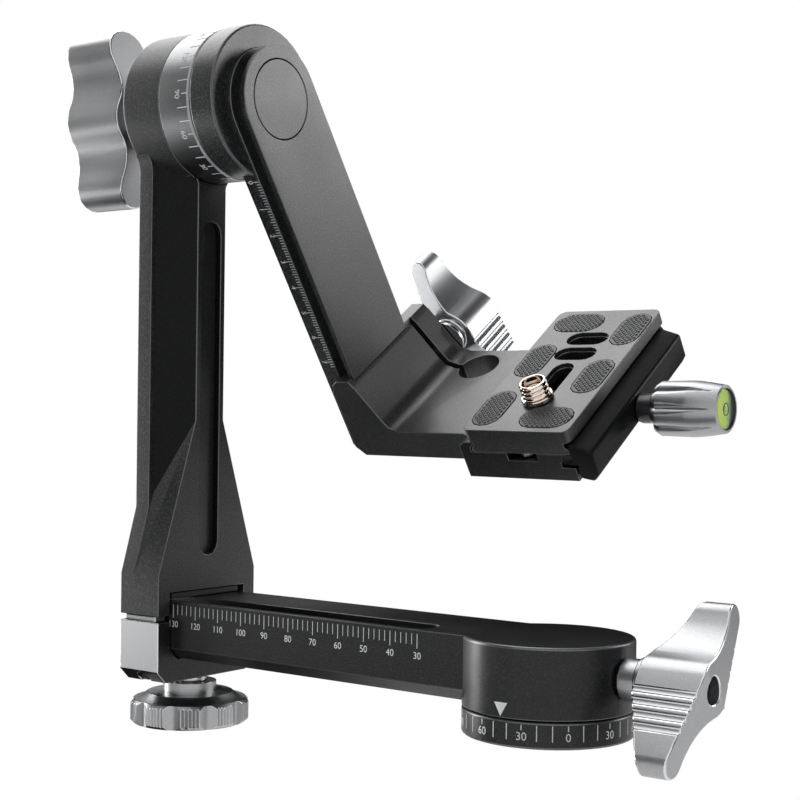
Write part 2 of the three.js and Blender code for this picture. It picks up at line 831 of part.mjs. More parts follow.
// Scale ring, its bearing and the rear bearing.
const ringBack = housingFace + touchGap;
const ringFront = housingFace + scaleRingDepth;
const bearingBack = ringBack + ringWebDepth + touchGap;

function scaleRing() {
  const ring = edgedRod("x", [0, tiltHeight], housingRadius, ringBack, ringFront, 0, ringEdge,
    fineSides);
  const seat = rod("x", [0, tiltHeight], bearingRadius + touchGap, ringBack + ringWebDepth,
    ringFront + overrun);
  const bore = rod("x", [0, tiltHeight], shaftRadius + touchGap, ringBack - overrun, ringFront);
  return cut(ring, seat, bore);
}

piece(upright, "tilt_scale_ring", scaleRing(), silverMetal);
piece(upright, "tilt_bearing_front", tube("x", [0, tiltHeight], bearingRadius,
  shaftRadius + touchGap, bearingBack, bearingBack + bearingDepth), steel);
piece(upright, "tilt_bearing_rear", tube("x", [0, tiltHeight], rearBearingRadius,
  shaftRadius + touchGap, bossBack + touchGap, bossBack + touchGap + rearBearingDepth), steel);

// Knurled clamp knob under the block.
const clampPadTop = armBottom - touchGap;
const clampPadBottom = clampPadTop - clampPadHeight;
const clampFlangeTop = blockBottom - touchGap;
const clampCollarTop = clampFlangeTop - clampFlangeHeight - touchGap;
const clampShoulderTop = clampCollarTop - clampCollarHeight;
const clampRimTop = clampShoulderTop - clampShoulderHeight;
const clampRimBottom = clampRimTop - clampRimHeight;
const clampPlace = [-clampKnobSetback, 0];

// A rim of shallow scallops with a few ridges on each land between them.
function knurledOutline() {
  const points = [];
  const step = 360 / clampScallops;
  for (let i = 0; i < clampScallops; i++) {
    const half = step / 4;
    for (let k = 0; k < arcSteps; k++) {
      const share = k / arcSteps;
      const radius = clampKnobRadius - clampScallopDepth * Math.sin(Math.PI * share);
      points.push([radius, i * step + 2 * half * share]);
    }
    for (let k = 0; k < 2 * clampRidges; k++) {
      const radius = clampKnobRadius - (k % 2 ? clampRidgeDepth : 0);
      points.push([radius, i * step + 2 * half * (1 + k / (2 * clampRidges))]);
    }
  }
  return points.map(([r, a]) => [r * Math.cos(radians(a)), r * Math.sin(radians(a))]);
}

function clampKnob() {
  const rim = prism("z", knurledOutline(), clampRimBottom, clampRimTop);
  const trim = edgedRod("z", [0, 0], clampKnobRadius + weld, clampRimBottom, clampRimTop,
    clampRimEdge, clampRimEdge, fineSides);
  const profile = [
    [0, clampRimTop - overrun],
    [clampKnobRadius - 2 * clampScallopDepth, clampRimTop - overrun],
    [clampKnobRadius - 2 * clampScallopDepth, clampRimTop],
    [clampShoulderRadius, clampShoulderTop],
    [clampCollarRadius, clampShoulderTop],
    [clampCollarRadius, clampCollarTop],
    [0, clampCollarTop],
  ];
  const top = turned("z", [0, 0], profile);
  const hole = rod("z", [0, 0], clampStudRadius + touchGap, clampRimTop - clampRimHeight / 2,
    overrun, smallSides);
  return cut(join(rim.intersect(trim), top), hole);
}

function clampStud() {
  const low = clampRimTop - clampRimHeight / 2 + touchGap;
  const stud = rod("z", [0, 0], clampStudRadius, low, clampPadBottom - touchGap, smallSides);
  const flange = rod("z", [0, 0], clampFlangeRadius, clampFlangeTop - clampFlangeHeight,
    clampFlangeTop, smallSides);
  return join(stud, flange);
}

piece(upright, "arm_clamp_pad", rod("z", clampPlace, clampPadRadius, clampPadBottom, clampPadTop,
  smallSides), polymer);
const clampKnobGroup = new THREE.Group();
clampKnobGroup.position.x = -clampKnobSetback;
upright.add(clampKnobGroup);
piece(clampKnobGroup, "arm_clamp_knob", clampKnob(), silverMetal);
piece(clampKnobGroup, "arm_clamp_stud", clampStud(), steel);

// Tilt lock: a thrust washer on the housing's boss and the large knob behind it.
const washerFront = bossBack - touchGap;
const tiltFoot = washerFront - thrustWasherDepth - touchGap;
const shaftBack = bossBack + touchGap + rearBearingDepth / 4;
const tiltWing = {
  hub: tiltHubRadius,
  hubDepth: tiltHubDepth,
  tip: tiltLobeRadius,
  tipReach: tiltLobeReach,
  waistRadius: tiltWaistRadius,
  straight: false,
  frontSweep: 0,
  backSweep: tiltBackSweep,
  holeRadius: wingHoleRadius,
  holeDepth: wingHoleDepth,
  socket: screwSocketRadius,
  collar: { length: tiltCollarLength, radius: tiltCollarRadius, step: 0, stepDepth: 0 },
  studHole: tiltStudRadius + touchGap,
};
piece(upright, "tilt_thrust_washer", tube("x", [0, tiltHeight], thrustWasherRadius,
  tiltStudRadius + touchGap, washerFront - thrustWasherDepth, washerFront), bronze);
const tiltKnob = new THREE.Group();
const tiltLean = radians(tiltWingLean);
const tiltUp = new THREE.Vector3(0, -Math.sin(tiltLean), Math.cos(tiltLean));
aim(tiltKnob, new THREE.Vector3(tiltFoot, 0, tiltHeight), xWay.clone().negate(), tiltUp);
upright.add(tiltKnob);
const tiltStudBelow = shaftBack + shaftHoleDepth - tiltFoot - touchGap;
piece(tiltKnob, "tilt_lock_knob", wingKnob(tiltWing), silverMetal);
piece(tiltKnob, "tilt_lock_stud", knobStud(tiltStudRadius, tiltStudBelow, tiltWing), steel);
piece(tiltKnob, "tilt_lock_screw", knobScrew(tiltWing), darkSteel);

// Swinging arm. Its own Z is the hanging direction turned upwards, so depths below the tilt
// axis are negative.
const discBack = ringFront + touchGap;
const discFront = discBack + discDepth;
const barFace = discFront + rulerProud + sideGrooveWidth + swingFlangeDepth;
const rulerFront = discFront + rulerProud;
const rulerBack = rulerFront - rulerDepth;
const flangeBack = rulerFront + sideGrooveWidth;
const grooveHalfWidth = swingHalfWidth - sideGrooveDepth;

function hanger(halfWidth, low, high) {
  const outline = [
    ...arc(0, 0, halfWidth, 0, 180, 3 * arcSteps),
    [-halfWidth, -swingLength],
    [halfWidth, -swingLength],
  ];
  return prism("x", outline, low, high);
}

function swingArm() {
  const disc = edgedRod("x", [0, 0], housingRadius, discBack, discFront, discEdge, discEdge,
    fineSides);
  const ruler = hanger(swingHalfWidth, rulerBack, rulerFront);
  const core = hanger(grooveHalfWidth, rulerFront - overrun, barFace);
  const flange = hanger(swingHalfWidth, flangeBack, barFace);
  const capSeat = rod("x", [0, 0], capRadius + touchGap, barFace - capDepth - touchGap,
    barFace + overrun, fineSides);
  const headSeat = rod("x", [0, 0], shaftHeadRadius + touchGap,
    barFace - capDepth - shaftHeadDepth - 3 * touchGap, barFace);
  const bore = rod("x", [0, 0], shaftRadius + touchGap, discBack - overrun, barFace);
  const washerSeat = tube("x", [0, 0], frictionOuter + touchGap, frictionInner - touchGap,
    discBack - overrun, discBack + frictionDepth + touchGap);
  return cut(join(disc, ruler, core, flange), capSeat, headSeat, bore, washerSeat);
}

function tiltShaft() {
  const headFront = barFace - capDepth - 2 * touchGap;
  const stem = rod("x", [0, 0], shaftRadius, shaftBack, headFront);
  const rim = rod("x", [0, 0], shaftHeadRadius, headFront - shaftHeadDepth, headFront);
  const hole = rod("x", [0, 0], tiltStudRadius + touchGap, shaftBack - overrun,
    shaftBack + shaftHoleDepth, smallSides);
  return cut(join(stem, rim), hole);
}

piece(swing, "swing_arm", swingArm(), blackMetal);
piece(swing, "tilt_shaft", tiltShaft(), steel);
piece(swing, "tilt_friction_washer", tube("x", [0, 0], frictionOuter, frictionInner, discBack,
  discBack + frictionDepth), polymer);
piece(swing, "arm_cap", rod("x", [0, 0], capRadius, barFace - capDepth, barFace, fineSides),
  blackMetal);

// Cradle bracket: a leg that wraps the swinging arm, a floor, and a split far jaw that the
// lock knob draws in.
const channelFace = barFace + touchGap;
const channelHalf = swingHalfWidth + touchGap;
const nearFace = channelHalf + sideWall;
const slitNear = channelHalf + slitOffset;
const slitFar = slitNear + clampSlit;
const farFace = slitFar + jawWall;
const bracketBack = barFace - bracketBackSetback;
const reliefX = barFace + reliefReach;
const clampX = barFace + clampOffset;
const floorEnd = clampX - touchGap;
const slitMiddle = (slitNear + slitFar) / 2;

function bracketProfile() {
  const legTop = bracketBack + legRoundDepth;
  const nose = legTop + legFlatDepth;
  const wedge = nose + legNoseDepth;
  const heel = wedge + legWedgeDepth;
  const heelDrop = cradleTop + legNoseDrop + legWedgeDrop;
  const toe = heel + legFootDepth;
  const points = [
    [bracketBack, cradleTop + legRoundTop],
    [bracketBack + legRoundDepth / 3, cradleTop + legRoundTop / 3],
    [legTop, cradleTop],
    [nose, cradleTop],
    [wedge, cradleTop + legNoseDrop],
    [heel, heelDrop],
    [heel + legFootDepth / 3, heelDrop + (2 * legFootDrop) / 3],
    [toe, floorTop],
    [floorEnd - floorEdgeDepth, floorTop],
    [floorEnd, floorTop + floorEdgeDrop],
    [floorEnd, floorBottom],
    [bracketBack + bracketBackChamfer, floorBottom],
    [bracketBack, floorBottom - bracketBackChamfer],
  ];
  return points.map(([x, d]) => [x, -d]);
}

function cradleBracket() {
  const body = prism("y", bracketProfile(), -nearFace, farFace);
  const tongue = box(floorEnd - overrun, floorEnd + tongueLength, -tongueHalfWidth,
    tongueHalfWidth, -floorBottom, tongueHeight - floorBottom);
  const low = -floorBottom - overrun;
  const high = overrun - cradleTop;
  const channel = box(0, channelFace, -channelHalf, channelHalf, low, high);
  const slit = box(channelFace - hookGap, reliefX, slitNear, slitFar, low, high);
  const hook = box(channelFace - hookGap, channelFace, grooveHalfWidth, slitFar, low, high);
  const relief = rod("z", [reliefX, slitMiddle], reliefRadius, low, high);
  const stud = rod("y", [barFace + cradleStudReach, -cradleStudDepth],
    cradleStudRadius + touchGap, farFace - cradleStudLength - touchGap, farFace + overrun,
    smallSides);
  const opened = cut(join(body, tongue), channel, slit, hook, relief, stud);
  return cut(join(opened, lip(-1, low, high), lip(1, low, high)), ...clampScrewTools());
}

// The rib on each side that runs in the swinging arm's side groove.
function lip(side, low, high) {
  const inner = grooveHalfWidth + touchGap;
  const outer = channelHalf + touchGap;
  const ys = [side * inner, side * outer].sort((a, b) => a - b);
  return box(rulerFront + touchGap, flangeBack - touchGap, ys[0], ys[1], low + overrun,
    high - overrun);
}

function clampScrewTools() {
  const x = clampX + clampScrewInset;
  return [-clampScrewSpread, clampScrewSpread].flatMap((y) => [
    rod("z", [x, y], clampScrewRadius + touchGap, -clampBottom - overrun,
      clampScrewLength - floorBottom + 2 * touchGap, smallSides),
    rod("z", [x, y], clampScrewHeadRadius + touchGap, -clampBottom - overrun,
      clampScrewHeadHeight - floorBottom + touchGap, smallSides),
  ]);
}

piece(cradle, "cradle_bracket", cradleBracket(), blackMetal);

// The clamp that grips the plate's dovetail: a fixed base and a sliding jaw.
const clampEnd = clampX + clampDepth;
const plateX = clampX + plateInset;
const tipReach = neckHalfWidth + touchGap;
const neckDepth = clampFloor - touchGap - plateThickness + platformThickness + neckHeight;
const tipDepth = neckDepth - touchGap / 2;

function clampBase() {
  const tip = plateX - tipReach;
  const heel = plateX - dovetailHalfWidth - touchGap;
  const run = tip - heel;
  const profile = [
    [clampX, lipTop + lipDrop],
    [clampX + lipLand, lipTop],
    [tip, lipTop],
    [tip, tipDepth],
    [heel, tipDepth + run],
    [heel, clampFloor],
    [clampEnd, clampFloor],
    [clampEnd, clampBottom],
    [clampX, clampBottom],
  ].map(([x, d]) => [x, -d]);
  const body = prism("y", profile, -clampNearEnd, clampFarEnd);
  const tongueSeat = box(clampX - overrun, floorEnd + tongueLength + touchGap,
    -tongueHalfWidth - touchGap, tongueHalfWidth + touchGap, -clampBottom - overrun,
    tongueHeight - floorBottom + touchGap);
  const jawSlot = box(clampEnd - jawTongueReach - touchGap, clampEnd + overrun,
    -clampNearEnd - overrun, clampFarEnd + overrun, -jawTongueDepth - jawTongueHeight - touchGap,
    touchGap - jawTongueDepth);
  const drive = rod("x", [driveOffset, -driveDepth], driveRadius + touchGap,
    clampEnd - driveTail - touchGap, clampEnd + overrun, smallSides);
  return cut(body, tongueSeat, jawSlot, drive, ...guideHoles(), ...stopNotches(),
    ...clampScrewTools());
}

function guidePlaces() {
  return [driveOffset - guideSpread, driveOffset + guideSpread];
}

function guideHoles() {
  return guidePlaces().map((y) => rod("x", [y, -driveDepth], guideRadius + touchGap,
    clampEnd - guideTail - touchGap, clampEnd + jawDepth - touchGap, 2 * arcSteps));
}

// Notches in both ends of the channel, where the plate's stop screws ride.
function stopNotches() {
  const reachIn = stopReach - stopRadius - plateTravel - touchGap;
  const bottom = -clampFloor - stopNotchDepth;
  const span = [plateX - stopNotchHalfWidth, plateX + stopNotchHalfWidth];
  return [
    box(...span, -clampNearEnd - overrun, plateOffset - reachIn, bottom, 0),
    box(...span, plateOffset + reachIn, clampFarEnd + overrun, bottom, 0),
  ];
}

function clampJaw() {
  const back = clampEnd + 2 * touchGap;
  const tip = plateX + tipReach;
  const run = dovetailHalfWidth - neckHalfWidth;
  const inner = Math.max(back, tip + run);
  const profile = [
    [tip, lipTop],
    [back, lipTop],
    [back + jawDepth, lipTop + jawDrop],
    [back + jawDepth, clampBottom - jawToeRise],
    [back + jawToeDepth + jawToeSetback / 2, clampBottom],
    [back, clampBottom - jawToeRise / 3],
    [back, jawTongueDepth + jawTongueHeight],
    [clampEnd - jawTongueReach, jawTongueDepth + jawTongueHeight],
    [clampEnd - jawTongueReach, jawTongueDepth + touchGap],
    [back, jawTongueDepth + touchGap],
    [back, clampFloor + touchGap],
    [inner, clampFloor],
    [inner, tipDepth + run],
    [tip, tipDepth],
  ].map(([x, d]) => [x, -d]);
  const body = prism("y", profile, -clampNearEnd, clampFarEnd);
  const drive = rod("x", [driveOffset, -driveDepth], driveRadius + touchGap,
    clampEnd - jawTongueReach - overrun, back + jawDepth + overrun, smallSides);
  return cut(body, drive, ...guideHoles());
}

piece(cradle, "clamp_base", clampBase(), blackMetal);
piece(cradle, "clamp_jaw", clampJaw(), blackMetal);
const jawFront = clampEnd + 2 * touchGap + jawDepth;
guidePlaces().forEach((y, i) => {
  const name = ["guide_pin_near", "guide_pin_far"][i];
  piece(cradle, name, rod("x", [y, -driveDepth], guideRadius, clampEnd - guideTail,
    clampEnd + jawDepth - 2 * touchGap, 2 * arcSteps), steel);
});
[-clampScrewSpread, clampScrewSpread].forEach((y, i) => {
  const screw = capScrew(clampScrewHeadRadius, clampScrewHeadHeight, clampScrewRadius,
    clampScrewLength, clampScrewRadius, clampScrewHeadHeight / 2);
  const placed = screw.rotate([180, 0, 0]);
  const name = ["clamp_screw_near", "clamp_screw_far"][i];
  const mesh = piece(cradle, name, placed, darkSteel);
  mesh.position.set(clampX + clampScrewInset, y, -floorBottom);
});

// Drive screw and fluted knob with its bubble level.
const sleeveStart = jawFront + touchGap;
const fluteStart = sleeveStart + driveSleeveLength + touchGap;
const fluteEnd = fluteStart + fluteKnobLength;

function driveScrew() {
  const low = clampEnd - driveTail;
  const high = fluteEnd - levelDepth - 2 * touchGap - screwHeadHeight;
  const stem = rod("x", [driveOffset, -driveDepth], driveRadius, low, high, smallSides);
  const sleeve = rod("x", [driveOffset, -driveDepth], driveSleeveRadius, sleeveStart,
    fluteStart - touchGap, smallSides);
  return join(stem, sleeve);
}

function fluteKnob() {
  const neck = fluteStart + fluteKnobNeck;
  const profile = [
    [0, fluteStart],
    [fluteKnobEndRadius, fluteStart],
    [fluteKnobRadius, neck],
    [fluteKnobRadius, (neck + fluteEnd) / 2],
    [fluteKnobEndRadius, fluteEnd],
    [0, fluteEnd],
  ];
  const body = turned("x", [driveOffset, -driveDepth], profile, flutes * 3);
  const tools = [];
  for (let i = 0; i < flutes; i++) {
    const angle = (2 * Math.PI * i) / flutes;
    const out = fluteKnobRadius + fluteDepth;
    const place = [driveOffset + out * Math.cos(angle), out * Math.sin(angle) - driveDepth];
    tools.push(rod("x", place, 2 * fluteDepth, neck, fluteEnd + overrun, arcSteps));
  }
  const cup = rod("x", [driveOffset, -driveDepth], levelRadius + touchGap,
    fluteEnd - levelDepth - touchGap, fluteEnd + overrun);
  const bore = rod("x", [driveOffset, -driveDepth], driveRadius + touchGap, fluteStart - overrun,
    fluteEnd - levelDepth - touchGap - screwHeadHeight, smallSides);
  return cut(body, ...tools, cup, bore);
}

const levelBack = fluteEnd - levelDepth;
piece(cradle, "clamp_drive_screw", driveScrew(), darkSteel);
piece(cradle, "clamp_knob", fluteKnob(), silverMetal);
piece(cradle, "level_bezel", tube("x", [driveOffset, -driveDepth], levelRadius,
  levelRadius - levelWall, levelBack, fluteEnd, smallSides * 2), polymer);
piece(cradle, "level_vial", rod("x", [driveOffset, -driveDepth],
  levelRadius - levelWall - touchGap, levelBack, fluteEnd - touchGap, smallSides * 2), vialGreen);

// Cradle lock.
const lockPlace = [barFace + cradleStudReach, -cradleStudDepth];
const washerStart = farFace + touchGap;
const cradleFoot = washerStart + lockWasherDepth + touchGap;
piece(cradle, "cradle_lock_washer", tube("y", lockPlace, lockWasherRadius,
  cradleStudRadius + touchGap, washerStart, washerStart + lockWasherDepth, smallSides), steel);
const cradleKnob = new THREE.Group();
const cradleWing = wingSizes(smallWing, cradleCollarLength, wingCollarRadius, wingCollarStep,
  cradleStudRadius);
const cradleLean = radians(cradleWingLean);
const cradleUp = new THREE.Vector3(-Math.sin(cradleLean), 0, Math.cos(cradleLean));
aim(cradleKnob, new THREE.Vector3(lockPlace[0], cradleFoot, lockPlace[1]), yWay, cradleUp);
cradle.add(cradleKnob);
piece(cradleKnob, "cradle_lock_knob", wingKnob(cradleWing), silverMetal);
piece(cradleKnob, "cradle_lock_stud", knobStud(cradleStudRadius,
  cradleFoot - farFace + cradleStudLength, cradleWing), steel);
piece(cradleKnob, "cradle_lock_screw", knobScrew(cradleWing), darkSteel);

// Quick release plate, drawn with its top at zero and its own centre at the origin.
const plate = new THREE.Group();
plate.position.set(plateX, plateOffset, plateThickness + touchGap - clampFloor);
cradle.add(plate);

function roundedBox(halfX, halfY, radius, low, high) {
  const x = halfX - radius;
  const y = halfY - radius;
  const outline = [
    ...arc(x, y, radius, 0, 90),
    ...arc(-x, y, radius, 90, 180),
    ...arc(-x, -y, radius, 180, 270),
    ...arc(x, -y, radius, 270, 360),
  ];
  return prism("z", outline, low, high);
}

const padPlaces = [
  [-crossPadReach, crossPadPlace, false],
  [padSideReach, padSidePlace, true],
  [-padMiddleReach, padMiddlePlace, true],
];
const allPads = [...padPlaces, ...padPlaces.map(([x, y, up]) => [-x, -y, up])];

function padOutline([x, y, up], gap) {
  const [length, width] = up ? [padLength, padWidth] : [crossPadLength, crossPadWidth];
  return stadium(x, y, length + 2 * gap, width + 2 * gap, up);
}

// A slot right through the plate with a wider rim sunk round its mouth.
function steppedSlot(y, length, up) {
  const rim = 2 * slotRim;
  const through = prism("z", stadium(0, y, length, slotWidth, up), -plateThickness - overrun,
    overrun);
  const mouth = prism("z", stadium(0, y, length + rim, slotWidth + rim, up), -slotRimDepth,
    overrun);
  return join(through, mouth);
}

function releasePlate() {
  const half = plateLength / 2;
  const run = dovetailHalfWidth - neckHalfWidth;
  const neckLow = -platformThickness - neckHeight;
  const right = [
    [dovetailHalfWidth, -plateThickness],
    [dovetailHalfWidth, neckLow - run],
    [neckHalfWidth, neckLow],
    [neckHalfWidth, -platformThickness],
    [platformHalfWidth, -platformThickness],
    [platformHalfWidth, 0],
  ];
  const left = right.map(([x, z]) => [-x, z]).reverse();
  const bar = prism("y", [...right, ...left], -half, half);
  const round = roundedBox(platformHalfWidth, half, plateCorner, -plateThickness - overrun,
    overrun);
  const pockets = allPads.map((place) => prism("z", padOutline(place, touchGap), -padSink,
    overrun));
  const crossSlots = [crossSlotPlace, crossSlotPlace + crossSlotPitch].map((y) =>
    steppedSlot(y, crossSlotLength, false));
  const middle = (longSlotHigh - longSlotLow) / 2;
  const long = longSlotHigh + longSlotLow;
  const longSlot = steppedSlot(middle, long, true);
  const headSlot = prism("z", stadium(0, middle, long + headSlotWidth - slotWidth, headSlotWidth,
    true), -plateThickness - overrun, headSlotDepth - plateThickness);
  const stops = [-stopReach, stopReach].map((y) => rod("z", [0, y], stopShankRadius + touchGap,
    -plateThickness - overrun, stopShankLength + touchGap - plateThickness, 2 * arcSteps));
  return cut(bar.intersect(round), ...pockets, ...crossSlots, longSlot, headSlot, ...stops);
}

piece(plate, "quick_release_plate", releasePlate(), blackMetal);
allPads.forEach((place, i) => {
  const body = prism("z", padOutline(place, 0), touchGap - padSink, padProud);
  piece(plate, `grip_pad_${i + 1}`, body, rubber);
});
[-stopReach, stopReach].forEach((y, i) => {
  const low = -plateThickness - stopHeight - touchGap;
  const stopHead = rod("z", [0, y], stopRadius, low, low + stopHeight, smallSides);
  const shank = rod("z", [0, y], stopShankRadius, low, stopShankLength - plateThickness,
    2 * arcSteps);
  piece(plate, ["stop_screw_near", "stop_screw_far"][i], join(stopHead, shank), steel);
});

// Camera screw at the near end of the long slot, with its retaining clip in the recess.
const screwY = -longSlotLow + slotWidth / 2;
const recessTop = headSlotDepth - plateThickness;
const clipLow = recessTop - touchGap - clipHeight;
const cameraHeadTop = clipLow - touchGap;

function cameraScrew() {
  const low = cameraHeadTop - cameraHeadHeight;
  const headDisc = rod("z", [0, screwY], cameraHeadRadius, low, cameraHeadTop);
  const stem = edgedRod("z", [0, screwY], cameraScrewRadius, low, cameraScrewRise, 0,
    touchGap, smallSides);
  const mouth = rod("z", [0, screwY], cameraScrewHole, cameraScrewRise - cameraScrewHoleDepth,
    cameraScrewRise + overrun, smallSides);
  const coin = box(-cameraHeadRadius - overrun, cameraHeadRadius + overrun,
    screwY - coinSlotWidth / 2, screwY + coinSlotWidth / 2, low - overrun, low + coinSlotDepth);
  return cut(join(headDisc, stem), mouth, coin);
}

// The threaded sleeve screwed on the camera screw's end.
function threadAdapter() {
  const axis = [0, screwY];
  const rim = rod("z", axis, adapterRimRadius, touchGap, touchGap + adapterRimHeight,
    2 * smallSides);
  const sleeve = edgedRod("z", axis, adapterRadius, touchGap, touchGap + adapterHeight, 0,
    touchGap, 2 * smallSides);
  return cut(join(rim, sleeve), rod("z", axis, adapterBore, 0, adapterHeight + overrun,
    2 * smallSides));
}

piece(plate, "camera_screw", cameraScrew(), bronze);
piece(plate, "thread_adapter", threadAdapter(), bronze);
piece(plate, "camera_screw_clip", tube("z", [0, screwY], clipRadius,
  cameraScrewRadius + touchGap, clipLow, clipLow + clipHeight, smallSides), steel);

export default head;
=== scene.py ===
import json
import math
import bmesh
import bpy
from mathutils import Matrix, Vector


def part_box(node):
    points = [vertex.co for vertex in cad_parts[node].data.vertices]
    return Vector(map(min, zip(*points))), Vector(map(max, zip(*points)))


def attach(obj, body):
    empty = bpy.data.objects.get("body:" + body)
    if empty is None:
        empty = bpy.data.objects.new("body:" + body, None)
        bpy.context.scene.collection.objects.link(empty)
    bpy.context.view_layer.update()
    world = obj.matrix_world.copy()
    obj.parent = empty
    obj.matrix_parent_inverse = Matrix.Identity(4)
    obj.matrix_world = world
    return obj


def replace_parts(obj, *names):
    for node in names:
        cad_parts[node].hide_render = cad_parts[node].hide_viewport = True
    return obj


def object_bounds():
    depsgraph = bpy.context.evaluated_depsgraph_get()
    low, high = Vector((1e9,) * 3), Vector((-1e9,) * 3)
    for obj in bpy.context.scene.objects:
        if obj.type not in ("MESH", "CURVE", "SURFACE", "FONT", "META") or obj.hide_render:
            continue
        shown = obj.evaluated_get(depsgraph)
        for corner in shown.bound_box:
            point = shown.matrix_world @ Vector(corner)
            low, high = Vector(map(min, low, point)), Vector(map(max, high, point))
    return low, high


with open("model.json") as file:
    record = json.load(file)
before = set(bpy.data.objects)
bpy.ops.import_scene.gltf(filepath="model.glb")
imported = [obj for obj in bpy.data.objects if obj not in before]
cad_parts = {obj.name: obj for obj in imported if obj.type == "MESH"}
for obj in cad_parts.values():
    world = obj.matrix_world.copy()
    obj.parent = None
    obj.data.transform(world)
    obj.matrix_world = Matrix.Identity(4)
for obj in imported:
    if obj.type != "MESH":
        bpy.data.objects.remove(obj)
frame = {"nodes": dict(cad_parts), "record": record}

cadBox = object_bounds()
mm = 0.001  # lengths are in mm, those of the camera and studio in metres
nodes = frame["nodes"]
bodies = frame["record"]["behaviour"]["bodies"]
bodyNames = {node: body for body, members in bodies.items() for node in members}
slotNames = {part["node"]: part["material_slot"] for part in frame["record"]["subparts"]}

# camera, at the photograph's view
cameraSet = {
    "place": (0.2435, -0.3955, 0.0953),
    "turn": 37.026,
    "pitch": 0.009,
    "roll": 0.688,
    "lens": 72.17,
    "sensor": 36,
    "clipEnd": 20,
}


def makeCamera():
    turn, pitch, roll = (math.radians(cameraSet[name]) for name in ("turn", "pitch", "roll"))
    level = math.cos(pitch)
    ahead = Vector((-math.sin(turn) * level, math.cos(turn) * level, -math.sin(pitch)))
    right = Vector((math.cos(turn), math.sin(turn), 0))
    up = right.cross(ahead)
    rightRolled = right * math.cos(roll) + up * math.sin(roll)
    upRolled = up * math.cos(roll) - right * math.sin(roll)
    data = bpy.data.cameras.new("photoCamera")
    data.lens = cameraSet["lens"]
    data.sensor_width = cameraSet["sensor"]
    data.clip_end = cameraSet["clipEnd"]
    camera = bpy.data.objects.new("photoCamera", data)
    bpy.context.scene.collection.objects.link(camera)
    basis = Matrix((rightRolled, upRolled, -ahead)).transposed().to_4x4()
    camera.matrix_world = Matrix.Translation(cameraSet["place"]) @ basis
    bpy.context.scene.camera = camera


makeCamera()
print("camera placed")


# shader group of the grain
def addSockets(group, inputs, outputs):
    for name, kind, value in inputs:
        socket = group.interface.new_socket(name, in_out="INPUT", socket_type=kind)
        socket.default_value = value
    for name, kind in outputs:
        group.interface.new_socket(name, in_out="OUTPUT", socket_type=kind)


def setInputs(node, **values):
    for name, value in values.items():
        node.inputs[name.replace("_", " ")].default_value = value
    return node


def makeBlastGroup():
    # fine bead-blasted grain: a mask of tiny bright specks, a slow change of tone and a normal
    group = bpy.data.node_groups.new("blastedGrain", "ShaderNodeTree")
    inputs = [("Scale", "NodeSocketFloat", 2600.0), ("Depth", "NodeSocketFloat", 0.00002)]
    outputs = [("Speck", "NodeSocketFloat"), ("Tone", "NodeSocketFloat"),
               ("Normal", "NodeSocketVector")]
    addSockets(group, inputs, outputs)
    node, link = group.nodes.new, group.links.new
    given, out = node("NodeGroupInput"), node("NodeGroupOutput")
    place = node("ShaderNodeTexCoord")
    fine = setInputs(node("ShaderNodeTexNoise"), Detail=2.5, Roughness=0.6)
    wide = setInputs(node("ShaderNodeTexNoise"), Scale=38, Detail=3)
    pick = setInputs(node("ShaderNodeMapRange"), From_Min=0.5, From_Max=0.7)
    bump = setInputs(node("ShaderNodeBump"), Strength=0.7)
    link(place.outputs["Object"], fine.inputs["Vector"])
    link(place.outputs["Object"], wide.inputs["Vector"])
    link(given.outputs["Scale"], fine.inputs["Scale"])
    link(fine.outputs["Fac"], pick.inputs["Value"])
    link(fine.outputs["Fac"], bump.inputs["Height"])
    link(given.outputs["Depth"], bump.inputs["Distance"])
    link(pick.outputs["Result"], out.inputs["Speck"])
    link(wide.outputs["Fac"], out.inputs["Tone"])
    link(bump.outputs["Normal"], out.inputs["Normal"])
    return group


blastGroup = makeBlastGroup()
roughSpread = 0.04  # how far the slow tone moves the roughness each way


def newFinish(name):
    finish = bpy.data.materials.new(name)
    finish.use_nodes = True
    finish.node_tree.nodes.clear()
    return finish, finish.node_tree.nodes.new, finish.node_tree.links.new


def blastedFinish(name, look):
    # base colour and speck colour mixed by the grain, roughness from the slow tone
    finish, node, link = newFinish(name)
    out = node("ShaderNodeOutputMaterial")
    shader = node("ShaderNodeBsdfPrincipled")
    grain = node("ShaderNodeGroup")
    grain.node_tree = blastGroup
    setInputs(grain, Scale=look["grain"], Depth=look["depth"])
    colour = node("ShaderNodeMix")
    colour.data_type = "RGBA"
    setInputs(colour, A=(*look["colour"], 1), B=(*look["speck"], 1))
    rough = setInputs(node("ShaderNodeMapRange"), From_Min=0.3, From_Max=0.7,
                      To_Min=look["rough"] - roughSpread, To_Max=look["rough"] + roughSpread)
    setInputs(shader, Metallic=look["metal"], Specular_IOR_Level=look.get("specular", 0.5))
    link(grain.outputs["Speck"], colour.inputs["Factor"])
    link(colour.outputs["Result"], shader.inputs["Base Color"])
    link(grain.outputs["Tone"], rough.inputs["Value"])
    link(rough.outputs["Result"], shader.inputs["Roughness"])
    link(grain.outputs["Normal"], shader.inputs["Normal"])
    link(shader.outputs["BSDF"], out.inputs["Surface"])
    return finish


